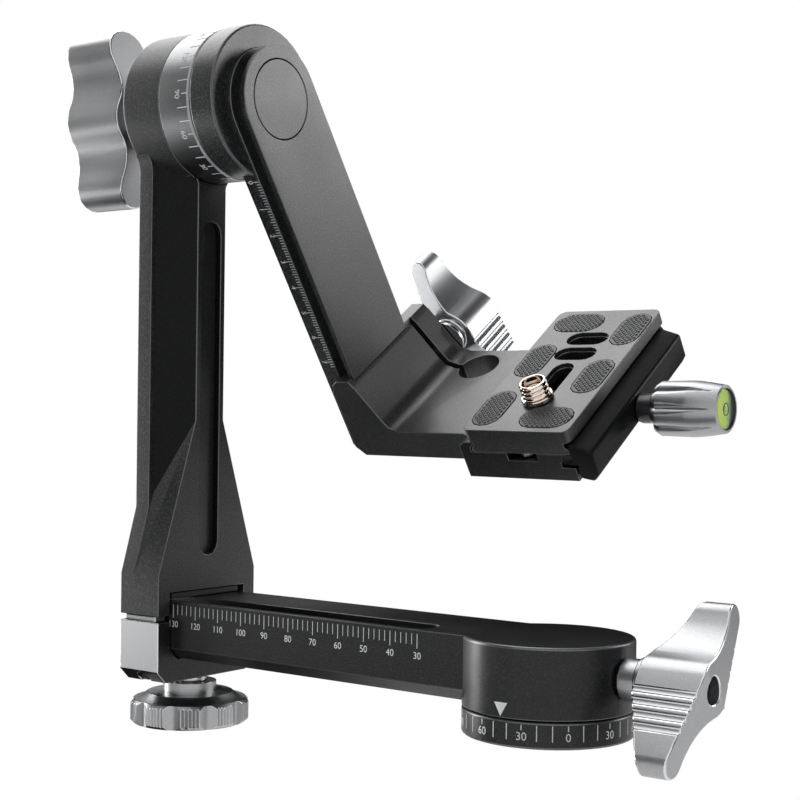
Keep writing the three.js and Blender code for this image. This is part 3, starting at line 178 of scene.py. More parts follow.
# colours of the ground and of its specks, scale of the grain and its depth in metres
looks = {
    "blackMetal": {"colour": (0.006, 0.0062, 0.007), "speck": (0.034, 0.035, 0.037), "grain": 2100,
                   "depth": 0.00004, "rough": 0.34, "metal": 0.0, "specular": 0.36},
    "armMetal": {"colour": (0.009, 0.0093, 0.01), "speck": (0.11, 0.112, 0.115), "grain": 2000,
                 "depth": 0.00006, "rough": 0.34, "metal": 0.0, "specular": 0.8},
    # the black metal made lighter on the column, as painted light on its faces
    "columnMetalPaintedLight": {"colour": (0.014, 0.0143, 0.015), "speck": (0.08, 0.081, 0.083), "grain": 2000,
                    "depth": 0.00006, "rough": 0.4, "metal": 0.0, "specular": 0.5},
    # lighter black on broken edges: partly bare machined edge, partly painted highlight
    "blackChamferAndHighlight": {"colour": (0.12, 0.122, 0.126), "speck": (0.22, 0.22, 0.225), "grain": 4600,
                  "depth": 0.00001, "rough": 0.36, "metal": 0.9},
    "silverMetal": {"colour": (0.36, 0.365, 0.375), "speck": (0.5, 0.505, 0.52), "grain": 4200,
                    "depth": 0.00003, "rough": 0.34, "metal": 1.0},
    # lighter silver on broken edges: partly machined edge, partly painted highlight
    "silverChamferAndHighlight": {"colour": (0.66, 0.665, 0.68), "speck": (0.8, 0.8, 0.82), "grain": 4200,
                   "depth": 0.00001, "rough": 0.2, "metal": 1.0},
    "ringMetal": {"colour": (0.27, 0.274, 0.28), "speck": (0.38, 0.385, 0.39), "grain": 4200,
                  "depth": 0.00003, "rough": 0.36, "metal": 1.0},
    # the jaw's own finish, also used as painted shade in the column's recessed panels
    "jawMetalAndRecessShade": {"colour": (0.005, 0.0052, 0.006), "speck": (0.02, 0.021, 0.022), "grain": 3400,
                 "depth": 0.00004, "rough": 0.34, "metal": 0.0, "specular": 0.11},
    "bubbleGreen": {"colour": (0.5, 0.68, 0.2), "speck": (0.58, 0.74, 0.28), "grain": 2000,
                    "depth": 0.00001, "rough": 0.12, "metal": 0.0, "specular": 0.6},
    "plateMetal": {"colour": (0.008, 0.0083, 0.009), "speck": (0.06, 0.061, 0.063), "grain": 2000,
                   "depth": 0.00004, "rough": 0.36, "metal": 0.0, "specular": 0.85},
    # a brighter copy of the silver, painted light on the yoke's sides
    "yokeSilverPaintedLight": {"colour": (0.6, 0.605, 0.615), "speck": (0.7, 0.7, 0.71), "grain": 4200,
                  "depth": 0.00003, "rough": 0.36, "metal": 1.0},
    "steel": {"colour": (0.5, 0.5, 0.51), "speck": (0.6, 0.6, 0.61), "grain": 1500,
              "depth": 0.00001, "rough": 0.24, "metal": 1.0},
    "darkSteel": {"colour": (0.045, 0.045, 0.048), "speck": (0.08, 0.08, 0.085), "grain": 2500,
                  "depth": 0.00001, "rough": 0.33, "metal": 0.6},
    "bronze": {"colour": (0.76, 0.65, 0.58), "speck": (0.84, 0.74, 0.68), "grain": 1500,
               "depth": 0.00001, "rough": 0.14, "metal": 1.0},
    "polymer": {"colour": (0.01, 0.01, 0.011), "speck": (0.02, 0.02, 0.021), "grain": 2000,
                "depth": 0.00001, "rough": 0.55, "metal": 0.0},
    "rubber": {"colour": (0.02, 0.021, 0.023), "speck": (0.05, 0.052, 0.056), "grain": 3000,
               "depth": 0.00003, "rough": 0.5, "metal": 0.0, "specular": 0.7},
    "whitePaint": {"colour": (0.8, 0.8, 0.8), "speck": (0.86, 0.86, 0.86), "grain": 3000,
                   "depth": 0.00001, "rough": 0.6, "metal": 0.0, "specular": 0.2},
    "darkPaint": {"colour": (0.008, 0.009, 0.009), "speck": (0.015, 0.016, 0.015), "grain": 3000,
                  "depth": 0.00001, "rough": 0.4, "metal": 0.0},
}
finishes = {name: blastedFinish(name, look) for name, look in looks.items()}


vialLook = {"near": (0.68, 0.88, 0.1), "middle": (0.5, 0.74, 0.07), "far": (0.03, 0.07, 0.04),
            "stops": (0.2, 0.66, 0.95), "waviness": 0.25, "margin": 0.001}


def vialFinish():
    # green fluid with light and shade painted in: bright on the near side and dark where the wall
    # shades it
    vial = vialLook
    finish, node, link = newFinish("vialGreen")
    out, shader = node("ShaderNodeOutputMaterial"), node("ShaderNodeBsdfPrincipled")
    place = node("ShaderNodeTexCoord")
    noise = setInputs(node("ShaderNodeTexNoise"), Scale=900, Detail=3)
    split, spread = node("ShaderNodeSeparateXYZ"), node("ShaderNodeMapRange")
    low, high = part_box("level_vial")
    setInputs(spread, From_Min=low[1] - vial["margin"], From_Max=high[1] + vial["margin"])
    wave, ramp = node("ShaderNodeMath"), node("ShaderNodeValToRGB")
    wave.operation = "MULTIPLY_ADD"
    wave.inputs[1].default_value = vial["waviness"]
    stops = ramp.color_ramp.elements
    stops[0].position, stops[0].color = vial["stops"][0], (*vial["near"], 1)
    stops[1].position, stops[1].color = vial["stops"][2], (*vial["far"], 1)
    stops.new(vial["stops"][1]).color = (*vial["middle"], 1)
    setInputs(shader, Roughness=0.12, Specular_IOR_Level=0.25)
    setInputs(shader, Coat_Weight=0.15, Coat_Roughness=0.05)
    link(place.outputs["Object"], noise.inputs["Vector"])
    link(place.outputs["Object"], split.inputs["Vector"])
    link(split.outputs["Y"], spread.inputs["Value"])
    link(noise.outputs["Fac"], wave.inputs[0])
    link(spread.outputs["Result"], wave.inputs[2])
    link(wave.outputs["Value"], ramp.inputs["Fac"])
    link(ramp.outputs["Color"], shader.inputs["Base Color"])
    link(shader.outputs["BSDF"], out.inputs["Surface"])
    return finish


finishes["vialGreen"] = vialFinish()
print("finishes made")


# pieces
def newPiece(name, mesh, finishNames, body):
    piece = bpy.data.objects.new(name, mesh)
    bpy.context.scene.collection.objects.link(piece)
    for finishName in finishNames:
        mesh.materials.append(finishes[finishName])
    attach(piece, body)
    return piece


def toMesh(work, name):
    mesh = bpy.data.meshes.new(name)
    work.to_mesh(mesh)
    work.free()
    return mesh


def markSharp(work, crease):
    # faces that meet at less than this many degrees are shaded as one
    limit = math.radians(crease)
    for face in work.faces:
        face.smooth = True
    for edge in work.edges:
        edge.smooth = len(edge.link_faces) == 2 and edge.calc_face_angle(0) < limit


weldDistance = 0.002 * mm
flatAngle = math.radians(0.6)
dressCrease = 50


def mergedCopy(node):
    # a node's triangles, welded and with its flat faces whole again
    work = bmesh.new()
    work.from_mesh(nodes[node].data)
    bmesh.ops.remove_doubles(work, verts=work.verts, dist=weldDistance)
    bmesh.ops.dissolve_limit(work, angle_limit=flatAngle, verts=work.verts, edges=work.edges,
                             delimit=set())
    bmesh.ops.recalc_face_normals(work, faces=work.faces)
    return work


def bevelSharp(work, width, segments, degrees):
    # outer edges only; the new faces take the piece's second finish
    limit = math.radians(degrees)
    sharp = [edge for edge in work.edges if len(edge.link_faces) == 2
             and edge.calc_face_angle_signed(0) > limit and edge.calc_length() > width]
    bmesh.ops.bevel(work, geom=sharp, offset=width, offset_type="OFFSET", affect="EDGES",
                    segments=segments, profile=0.5, material=1, clamp_overlap=False)


def dress(node, finish, edgeFinish, width, segments=2, degrees=38, paint=None):
    # a machined piece with its sharp edges broken; paint gives more finishes and picks a face's
    work = mergedCopy(node)
    bevelSharp(work, width * mm, segments, degrees)
    work.normal_update()
    finishNames = [finish, edgeFinish or finish]
    if paint:
        finishNames += paint["finishes"]
        for face in work.faces:
            face.material_index = paint["pick"](face)
    markSharp(work, dressCrease)
    name = "dressed_" + node
    piece = newPiece(name, toMesh(work, name), finishNames, bodyNames[node])
    piece.modifiers.new("weighted", "WEIGHTED_NORMAL").keep_sharp = True
    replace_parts(piece, node)


# how much of a face's normal lies along Y where it counts as a side
sideShare = {"yoke": 0.97, "yokeEdge": 0.3, "column": 0.7}


def yokePick(face):
    # painted light and shade on a silver part: a brighter silver on the two faces that look along
    # Y, black as painted shade elsewhere
    aside = abs(face.normal.y)
    if face.material_index == 1:
        return 3 if aside > sideShare["yokeEdge"] else 1
    return 2 if aside > sideShare["yoke"] else 0


ribSide = 15.5 * mm  # the ribs' sides lie further out than this, the panels between them less


def columnPick(face):
    # painted shade: darker where the sides lie back between the ribs
    if face.material_index == 1:
        return 1
    aside = abs(face.normal.y) > sideShare["column"]
    return 2 if aside and abs(face.calc_center_median().y) < ribSide else 0


# finish, finish of the broken edges and their width in mm; the lighter edge finishes are partly
# machined edge and partly painted highlight
dressSet = {
    "base_plate": ("blackMetal", "blackChamferAndHighlight", 0.2),
    "tripod_bushing": ("steel", None, 0.15),
    "pan_spindle": ("steel", None, 0.15),
    "horizontal_arm": ("blackMetal", "blackChamferAndHighlight", 0.3),
    "pan_lock_knob": ("silverMetal", "silverChamferAndHighlight", 0.5),
    "pan_lock_screw": ("darkSteel", None, 0.12),
    "pan_lock_stud": ("steel", None, 0.1),
    "arm_guide_liner": ("polymer", None, 0.2),
    "tilt_scale_ring": ("ringMetal", "silverMetal", 0.2),
    "arm_clamp_knob": ("silverMetal", "silverChamferAndHighlight", 0.09),
    "arm_clamp_stud": ("steel", None, 0.2),
    "tilt_thrust_washer": ("darkSteel", None, 0.1),
    "tilt_lock_knob": ("silverMetal", "silverChamferAndHighlight", 0.6),
    "tilt_lock_screw": ("darkSteel", None, 0.12),
    "swing_arm": ("armMetal", "blackChamferAndHighlight", 0.3),
    "arm_cap": ("armMetal", "blackChamferAndHighlight", 0.2),
    "cradle_bracket": ("plateMetal", "blackChamferAndHighlight", 0.35),
    "clamp_base": ("blackMetal", "blackChamferAndHighlight", 0.25),
    "clamp_jaw": ("jawMetalAndRecessShade", None, 0.9),
    "clamp_drive_screw": ("darkSteel", None, 0.2),
    "cradle_lock_washer": ("steel", None, 0.1),
    "cradle_lock_knob": ("silverMetal", "silverChamferAndHighlight", 0.5),
    "cradle_lock_screw": ("darkSteel", None, 0.12),
    "quick_release_plate": ("plateMetal", "blackChamferAndHighlight", 0.25),
    "camera_screw": ("bronze", None, 0.15),
}
for node, (finish, edgeFinish, width) in dressSet.items():
    dress(node, finish, edgeFinish, width)
# the column in a lighter black as painted light, its recessed panels darker as painted shade
dress("vertical_arm", "columnMetalPaintedLight", "blackChamferAndHighlight", 0.3,
      paint={"finishes": ["jawMetalAndRecessShade"], "pick": columnPick})
# the silver yoke, black as painted shade except on its brighter painted-light sides
dress("clamp_yoke", "blackMetal", "blackChamferAndHighlight", 0.3,
      paint={"finishes": ["yokeSilverPaintedLight", "silverChamferAndHighlight"], "pick": yokePick})
print("machined pieces dressed")

plainNodes = {
    "pan_bushing": "bronze", "pan_brake_pad": "polymer", "yoke_screw_near": "darkSteel",
    "yoke_screw_far": "darkSteel", "tilt_bearing_front": "steel", "tilt_bearing_rear": "steel",
    "arm_clamp_pad": "polymer", "tilt_lock_stud": "steel", "tilt_shaft": "steel",
    "tilt_friction_washer": "polymer", "clamp_screw_near": "darkSteel",
    "clamp_screw_far": "darkSteel", "guide_pin_near": "steel", "guide_pin_far": "steel",
    "cradle_lock_stud": "steel", "stop_screw_near": "steel", "stop_screw_far": "steel",
    "camera_screw_clip": "steel",
}
for node, finish in plainNodes.items():
    nodes[node].data.materials.clear()
    nodes[node].data.materials.append(finishes[finish])

# frame of the tilted parts: X stays, n is across the swinging arm, d is down along it
tiltHeight = 193.3
swingAngle = math.radians(33.9)
across = Vector((0, math.cos(swingAngle), math.sin(swingAngle)))
down = Vector((0, math.sin(swingAngle), -math.cos(swingAngle)))


def swingPoint(x, n, d):
    return (Vector((x, 0, tiltHeight)) + across * n + down * d) * mm


# the plate's own frame, its top at zero
plateSet = {"x": -36.9, "across": 7.4, "down": 109.4}
plateSpot = swingPoint(plateSet["x"], plateSet["across"], plateSet["down"])
plateFrame = Matrix.Translation(plateSpot) @ Matrix.Rotation(swingAngle, 4, "X")


# grip pads with a raised diamond pattern
padSet = {"low": -0.9, "base": 0.1, "top": 0.48, "pitch": 1.36, "foot": 1.2, "tip": 0.62,
          "sunk": 0.1, "margin": 0.55, "crease": 30}


def stadiumRing(centre, halfLong, halfWide, upright, steps=12):
    # outline of a bar with round ends
    points = []
    for end in (1, -1):
        for i in range(steps + 1):
            angle = math.radians(-90 + 180 * i / steps) + (0 if end > 0 else math.pi)
            along = end * (halfLong - halfWide) + halfWide * math.cos(angle)
            aside = halfWide * math.sin(angle)
            points.append((centre[0] - aside, centre[1] + along) if upright
                          else (centre[0] + along, centre[1] + aside))
    return points


def inStadium(x, y, centre, halfLong, halfWide, upright):
    along, aside = (y - centre[1], x - centre[0]) if upright else (x - centre[0], y - centre[1])
    past = max(0, abs(along) - (halfLong - halfWide))
    return math.hypot(past, aside) < halfWide


def joinRings(work, rings):
    for low, high in zip(rings, rings[1:]):
        for i in range(len(low)):
            j = (i + 1) % len(low)
            work.faces.new((low[i], low[j], high[j], high[i]))


def addDiamond(work, x, y):
    pad, rings = padSet, []
    for side, z in ((pad["foot"], pad["base"] - pad["sunk"]), (pad["tip"], pad["top"])):
        reach = side / math.sqrt(2)
        corners = [(x + reach * math.cos(turn), y + reach * math.sin(turn), z)
                   for turn in (0, math.pi / 2, math.pi, 3 * math.pi / 2)]
        rings.append([work.verts.new(Vector(corner) * mm) for corner in corners])
    bottom, top = rings
    work.faces.new(top)
    work.faces.new(bottom[::-1])
    joinRings(work, rings)


def gripPad(node):
    pad, back = padSet, plateFrame.inverted()
    local = [back @ vert.co / mm for vert in nodes[node].data.vertices]
    lowX, highX = min(spot.x for spot in local), max(spot.x for spot in local)
    lowY, highY = min(spot.y for spot in local), max(spot.y for spot in local)
    centre = ((lowX + highX) / 2, (lowY + highY) / 2)
    upright = highY - lowY > highX - lowX
    halfLong, halfWide = sorted(((highX - lowX) / 2, (highY - lowY) / 2), reverse=True)
    work = bmesh.new()
    ring = stadiumRing(centre, halfLong, halfWide, upright)
    base = work.faces.new([work.verts.new(Vector((x, y, pad["low"])) * mm) for x, y in ring])
    raised = bmesh.ops.extrude_face_region(work, geom=[base])["geom"]
    lifted = [item for item in raised if isinstance(item, bmesh.types.BMVert)]
    bmesh.ops.translate(work, verts=lifted, vec=(0, 0, (pad["base"] - pad["low"]) * mm))
    step = pad["pitch"] / math.sqrt(2)
    reach = int(halfLong / step) + 2
    inner = (centre, halfLong - pad["margin"], halfWide - pad["margin"], upright)
    for i in range(-reach, reach + 1):
        for j in range(-reach, reach + 1):
            x, y = centre[0] + (i + j) * step, centre[1] + (i - j) * step
            if inStadium(x, y, *inner):
                addDiamond(work, x, y)
    bmesh.ops.recalc_face_normals(work, faces=work.faces)
    work.transform(plateFrame)
    markSharp(work, pad["crease"])
    name = "knurled_" + node
    piece = newPiece(name, toMesh(work, name), ["rubber"], bodyNames[node])
    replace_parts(piece, node)


for i in range(1, 7):
    gripPad(f"grip_pad_{i}")
print("grip pads made")


# threaded sleeve on the camera screw, 3/8 inch with 16 turns to the inch
threadSet = {"pitch": 1.5875, "crest": 4.76, "root": 4.05, "high": 6.9, "fade": 0.5, "worn": 0.25,
             "bore": 3.6, "rim": 5.4, "rimHigh": 1.7, "rimEdge": 0.25, "foot": 0.3,
             "footEdge": 0.2, "step": 0.1, "lip": 0.05, "mouth": 0.2, "place": -18.95,
             "around": 64, "rows": 9, "swell": 0.8, "crease": 42}


def threadRadius(turn, z):
    # a rounded ridge over the root, which fades out at the mouth
    thread = threadSet
    wave = 0.5 - 0.5 * math.cos(2 * math.pi * (z / thread["pitch"] - turn))
    fade = min(1, (thread["high"] - z) / thread["fade"])
    ridge = (thread["crest"] - thread["root"]) * wave ** thread["swell"]
    return thread["root"] + ridge * fade + thread["worn"] * (1 - fade)


def sleeveRing(work, radiusOf, z):
    around, ring = threadSet["around"], []
    for i in range(around):
        angle, radius = 2 * math.pi * i / around, radiusOf(i / around)
        spot = (radius * math.cos(angle), threadSet["place"] + radius * math.sin(angle), z)
        ring.append(work.verts.new(Vector(spot) * mm))
    return ring


def threadedSleeve():
    thread, work = threadSet, bmesh.new()
    bore, high, root, rim = (thread[name] for name in ("bore", "high", "root", "rim"))
    foot, footEdge, rimHigh = thread["foot"], thread["footEdge"], thread["rimHigh"]
    plan = [(bore, foot), (rim - footEdge, foot), (rim, foot + footEdge),
            (rim, rimHigh - thread["rimEdge"]), (rim - thread["rimEdge"], rimHigh),
            (root + thread["step"], rimHigh)]
    rings = [sleeveRing(work, lambda turn, fixed=radius: fixed, z) for radius, z in plan]
    tall = high - rimHigh
    count = int(tall / thread["pitch"] * thread["rows"])
    for row in range(1, count + 1):
        z = rimHigh + tall * row / count
        rings.append(sleeveRing(work, lambda turn, height=z: threadRadius(turn, height), z))
    rings.append(sleeveRing(work, lambda turn: bore + thread["worn"], high + thread["lip"]))
    rings.append(sleeveRing(work, lambda turn: bore, high - thread["mouth"]))
    joinRings(work, rings + [rings[0]])
    bmesh.ops.recalc_face_normals(work, faces=work.faces)
    work.transform(plateFrame)
    markSharp(work, thread["crease"])
    node, name = "thread_adapter", "threaded_sleeve"
    piece = newPiece(name, toMesh(work, name), ["bronze"], bodyNames[node])
    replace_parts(piece, node)


threadedSleeve()
print("screw made")


# bubble level in the clamp knob: wall, green fluid, printed ring and bubble
levelLow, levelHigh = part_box("level_vial")
levelFront = levelHigh[0] / mm
levelY, levelZ = (levelLow[1] + levelHigh[1]) / 2 / mm, (levelLow[2] + levelHigh[2]) / 2 / mm
levelSet = {"wallOut": 6.68, "wallIn": 6.4, "wallEdge": 0.1, "rimEdge": 0.08, "fluid": 6.35,
            "dome": 0.3, "domeFoot": -0.35, "domeSteps": 8, "floor": -4.7, "fluidFloor": -4.6,
            "ringIn": 1.75, "ringOut": 2.05, "ringDeep": 0.15, "bubble": 1.3,
            "bubbleLift": 0.02, "bubbleOff": (-0.2, 0.15), "bubbleSteps": 12, "crease": 45}


def spunDisc(name, profile, finish, offset=(0, 0), steps=40):
    # a profile of (radius, height) turned round the knob's axis, height along +X
    work = bmesh.new()
    verts = [work.verts.new(Vector((height, radius, 0)) * mm) for radius, height in profile]
    edges = [work.edges.new(pair) for pair in zip(verts, verts[1:])]
    bmesh.ops.spin(work, geom=verts + edges, cent=(0, 0, 0), axis=(1, 0, 0), dvec=(0, 0, 0),
                   angle=2 * math.pi, steps=steps, use_merge=True)
    bmesh.ops.remove_doubles(work, verts=work.verts, dist=weldDistance)
    bmesh.ops.recalc_face_normals(work, faces=work.faces)
    place = Vector((levelFront, levelY + offset[0], levelZ + offset[1])) * mm
    work.transform(Matrix.Translation(place))
    markSharp(work, levelSet["crease"])
    return newPiece(name, toMesh(work, name), [finish], "jaw_knob")


def levelFace():
    level, bezelSlot, vialSlot = levelSet, slotNames["level_bezel"], slotNames["level_vial"]
    inner, outer, edge, floor = (level[name] for name in ("wallIn", "wallOut", "wallEdge", "floor"))
    wall = [(inner, floor), (inner, -edge), (inner + edge, 0), (outer - level["rimEdge"], 0),
            (outer, -edge), (outer, floor), (inner, floor)]
    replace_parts(spunDisc("level_wall", wall, "polymer"), "level_bezel")
    wide, foot, dome = level["fluid"], level["domeFoot"], level["dome"]
    fluid = [(0, level["fluidFloor"]), (wide, level["fluidFloor"]), (wide, foot)]
    for step in range(1, level["domeSteps"] + 1):
        angle = math.pi / 2 * step / level["domeSteps"]
        fluid.append((wide * math.cos(angle), foot + dome * math.sin(angle)))
    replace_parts(spunDisc("level_fluid", fluid, "vialGreen"), "level_vial")
    inner, outer, deep = level["ringIn"], level["ringOut"], level["ringDeep"]
    ring = [(inner, -deep), (inner, 0), (outer, 0), (outer, -deep), (inner, -deep)]
    spunDisc("level_ring", ring, "darkPaint")
    steps, lift = level["bubbleSteps"], level["bubbleLift"]
    bubble = [(level["bubble"] * math.sin(angle), lift + dome * math.cos(angle))
              for angle in (math.pi * step / steps for step in range(steps + 1))]
    spunDisc("level_bubble", bubble, "bubbleGreen", level["bubbleOff"])


levelFace()


# fluted clamp knob, its grooves narrow to points towards the level
knobSet = {"start": -3.4, "startEdge": 0.3, "lead": -1.6, "leadDrop": 1.0, "shoulder": 9, "end": 20,
           "endEdge": 0.4, "wide": 9.2, "small": 7.75, "taper": 1.3, "bore": 4.05, "cup": 6.75,
           "cupDepth": 4.8, "grooves": 8, "depth": 1.15, "spread": 0.3, "full": 2, "point": 17.5,
           "fall": 0.5, "hollow": 1.4, "around": 192, "rows": 40, "crease": 34}


def knobRadius(x, turn):
    # the plain outline, less the groove that this turn lies in
    knob = knobSet
    if x < knob["lead"]:
        share = (knob["lead"] - x) / (knob["lead"] - knob["start"])
        radius = knob["wide"] - knob["leadDrop"] * share
    else:
        share = max(0, (x - knob["shoulder"]) / (knob["end"] - knob["shoulder"]))
        radius = knob["wide"] - (knob["wide"] - knob["small"]) * share ** knob["taper"]
    left = max(0, min(1, (knob["point"] - x) / (knob["point"] - knob["full"])))
    aside = abs((turn * knob["grooves"] + 0.5) % 1 - 0.5)
    dip = max(0, 1 - aside / (knob["spread"] * left)) if left > 0 else 0
    return radius - knob["depth"] * left ** knob["fall"] * dip ** knob["hollow"]


def knobRing(work, x, radiusOf):
    around, ring = knobSet["around"], []
    for i in range(around):
        angle, radius = 2 * math.pi * i / around, radiusOf(i / around)
        spot = (x, levelY + radius * math.cos(angle), levelZ + radius * math.sin(angle))
        ring.append(work.verts.new(Vector(spot) * mm))
    return ring


def flutedKnob():
    knob, work = knobSet, bmesh.new()
    start, end, bore, cup = (knob[name] for name in ("start", "end", "bore", "cup"))
    long = end - knob["endEdge"] - knob["lead"]
    places = [start, start + knob["startEdge"]]
    places += [knob["lead"] + long * row / knob["rows"] for row in range(knob["rows"] + 1)]
    floor = end - knob["cupDepth"]
    mouth = [(end, knob["small"] - knob["endEdge"]), (end, cup), (floor, cup), (floor, bore)]
    rings = [knobRing(work, start, lambda turn: bore)]
    rings += [knobRing(work, x, lambda turn, place=x: knobRadius(place, turn)) for x in places]
    rings += [knobRing(work, x, lambda turn, fixed=radius: fixed) for x, radius in mouth]
    joinRings(work, rings + [rings[0]])
    bmesh.ops.recalc_face_normals(work, faces=work.faces)
    markSharp(work, knob["crease"])
    node, name = "clamp_knob", "fluted_knob"
    piece = newPiece(name, toMesh(work, name), ["silverMetal"], bodyNames[node])
    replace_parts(piece, node)


flutedKnob()
print("clamp knob and level made")


# bright packing in the split between the upright and its clamp yoke
packingSet = {"backGap": 2.1, "frontGap": 1.8, "inner": 18.2, "outer": 22.9, "corner": 0.5,
              "low": 21.08, "high": 22.92, "edge": 0.2, "edgeSteps": 2, "edgePast": 60,
              "crease": 40}


def splitPacking(name, side):
    packing, work = packingSet, bmesh.new()
    back, front = (end[0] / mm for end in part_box("clamp_yoke"))
    back, front = back + packing["backGap"], front - packing["frontGap"]
    inner, outer, corner = packing["inner"], packing["outer"], packing["corner"]
    corners = [(back, inner), (back, outer - corner), (back + corner, outer),
               (front - corner, outer), (front, outer - corner), (front, inner)]
    low, high = ([work.verts.new(Vector((x, side * y, z)) * mm) for x, y in corners]
                 for z in (packing["low"], packing["high"]))
    work.faces.new(low)
    work.faces.new(high)
    joinRings(work, [low, high])
    bmesh.ops.recalc_face_normals(work, faces=work.faces)
    bevelSharp(work, packing["edge"] * mm, packing["edgeSteps"], packing["edgePast"])
    markSharp(work, packing["crease"])
    newPiece(name, toMesh(work, name), ["silverMetal", "silverChamferAndHighlight"], "upright")


splitPacking("split_packing_near", -1)
splitPacking("split_packing_far", 1)
print("packing made")


# printed scales
def glyphs(text):
    curve = bpy.data.curves.new("glyphs", "FONT")
    curve.body = text
    curve.align_x = curve.align_y = "CENTER"
    curve.resolution_u = 4
    holder = bpy.data.objects.new("glyphs", curve)
    bpy.context.scene.collection.objects.link(holder)
    mesh = bpy.data.meshes.new_from_object(holder)
    bpy.data.objects.remove(holder)
    return mesh


glyphHeight = 0.73  # of a digit in the built-in font at size 1
sheetLift = 0.03  # of the paint over its face, in mm


def paintSheet(name, body, finish, bars, numbers, lay):
    # bars are (u, v, width, length) and numbers (text, u, v, height); lay puts (u, v) on the part
    work = bmesh.new()
    for u, v, width, length in bars:
        place = Matrix.Translation((u, v, 0)) @ Matrix.Diagonal((width, length, 1, 1))
        bmesh.ops.create_grid(work, x_segments=1, y_segments=1, size=0.5, matrix=place)
    for text, u, v, height in numbers:
        mesh = glyphs(text)
        scale = height / glyphHeight
        mesh.transform(Matrix.Translation((u, v, 0)) @ Matrix.Diagonal((scale, scale, 1, 1)))
        work.from_mesh(mesh)
    for vert in work.verts:
        vert.co = lay(vert.co.x, vert.co.y)
    return newPiece(name, toMesh(work, name), [finish], body)


# ruler along the horizontal arm: reading R lies at X = -(R + 4.5)
armSet = {"face": -17.2, "zero": 4.5, "first": 30, "last": 130, "each": 2, "marksTop": 26.8,
          "numbersAt": 20.3, "height": 2.15, "long": 4.3, "short": 3.2, "longWidth": 0.24,
          "shortWidth": 0.2}


def armRuler():
    # a long mark and a number at every ten
    ruler, bars, numbers = armSet, [], []
    for reading in range(ruler["first"], ruler["last"] + 1, ruler["each"]):
        x, kind = -(reading + ruler["zero"]), "short" if reading % 10 else "long"
        length, width = ruler[kind], ruler[kind + "Width"]
        bars.append((x, ruler["marksTop"] - length / 2, width, length))
        if kind == "long":
            numbers.append((str(reading), x, ruler["numbersAt"], ruler["height"]))
    face = ruler["face"] - sheetLift
    paintSheet("arm_ruler", "pan_body", "whitePaint", bars, numbers,
               lambda u, v: Vector((u, face, v)) * mm)


armRuler()

wholeTurn = 360


def paintDial(name, body, dial, lay):
    # a short mark and a number at every 30 degrees, and long marks at the tens between them
    bars, numbers = [], []
    for reading in range(dial["first"], dial["first"] + wholeTurn, dial["each"]):
        spot = dial["radius"] * math.radians(dial["zero"] - reading)
        kind = "long" if reading % dial["numbered"] else "short"
        bars.append((spot, dial[kind + "At"], dial["width"], dial[kind]))
        if kind == "short":
            text = str(min(reading % wholeTurn, -reading % wholeTurn))
            numbers.append((text, spot, dial["numbersAt"], dial["height"]))
    paintSheet(name, body, "whitePaint", bars, numbers, lay)


# degree scale round the base: reading R lies at -45.4 - R degrees
baseSet = {"radius": 25, "zero": -45.4, "first": -170, "each": 10, "numbered": 30, "width": 0.28,
           "long": 4.4, "longAt": 4.5, "short": 1.5, "shortAt": 5.95, "numbersAt": 3.4,
           "height": 2.35}


def onBase(u, v):
    angle, radius = u / baseSet["radius"], baseSet["radius"] + sheetLift
    return Vector((radius * math.cos(angle), radius * math.sin(angle), v)) * mm


paintDial("base_scale", "base", baseSet, onBase)

# pointer on the panning drum, over the scale, its turn in degrees
pointerSet = {"turn": -90, "half": 5, "tip": 8.4, "top": 12.2}


def pointerMark():
    turn, half, tip, top = (pointerSet[name] for name in ("turn", "half", "tip", "top"))
    work, corners = bmesh.new(), [(turn, tip), (turn + half, top), (turn, top), (turn - half, top)]
    ring = [work.verts.new(onBase(baseSet["radius"] * math.radians(angle), z))
            for angle, z in corners]
    work.faces.new((ring[0], ring[1], ring[2]))
    work.faces.new((ring[0], ring[2], ring[3]))
    newPiece("pan_pointer", toMesh(work, "pan_pointer"), ["whitePaint"], "pan_body")


pointerMark()

# tilt scale round the silver ring: reading 0 is straight down and 90 looks along -Y
ringSet = {"radius": 25.4, "zero": 0, "first": 0, "each": 10, "numbered": 30, "width": 0.3,
           "long": 4.4, "longAt": -125.5, "short": 2.3, "shortAt": -124.45, "numbersAt": -127.6,
           "height": 2.2}


def onRing(u, v):
    reading, radius = -u / ringSet["radius"], ringSet["radius"] + sheetLift
    y, z = -radius * math.sin(reading), tiltHeight - radius * math.cos(reading)
    return Vector((v, y, z)) * mm


paintDial("tilt_scale", "upright", ringSet, onRing)

# ruler down the edge of the swinging arm, from 20.6 mm below the tilt axis
swingSet = {"face": -17.8, "zero": 20.6, "last": 72, "marksAt": -111.3, "width": 0.2,
            "numbersAt": -115.2, "height": 2.0, "ten": 2.6, "five": 2.1, "one": 1.6}


def swingRuler():
    # a mark at each millimetre, and a number at each centimetre
    ruler, bars, numbers = swingSet, [], []
    for reading in range(ruler["last"] + 1):
        place, kind = ruler["zero"] + reading, "one" if reading % 5 else "five"
        kind = kind if reading % 10 else "ten"
        bars.append((place, ruler["marksAt"] - ruler[kind] / 2, ruler["width"], ruler[kind]))
        if kind == "ten":
            numbers.append((str(reading // 10), place, ruler["numbersAt"], ruler["height"]))
    face = ruler["face"] - sheetLift
    paintSheet("swing_ruler", "swing", "whitePaint", bars, numbers,
               lambda u, v: swingPoint(v, face, u))


swingRuler()
print("scales printed")


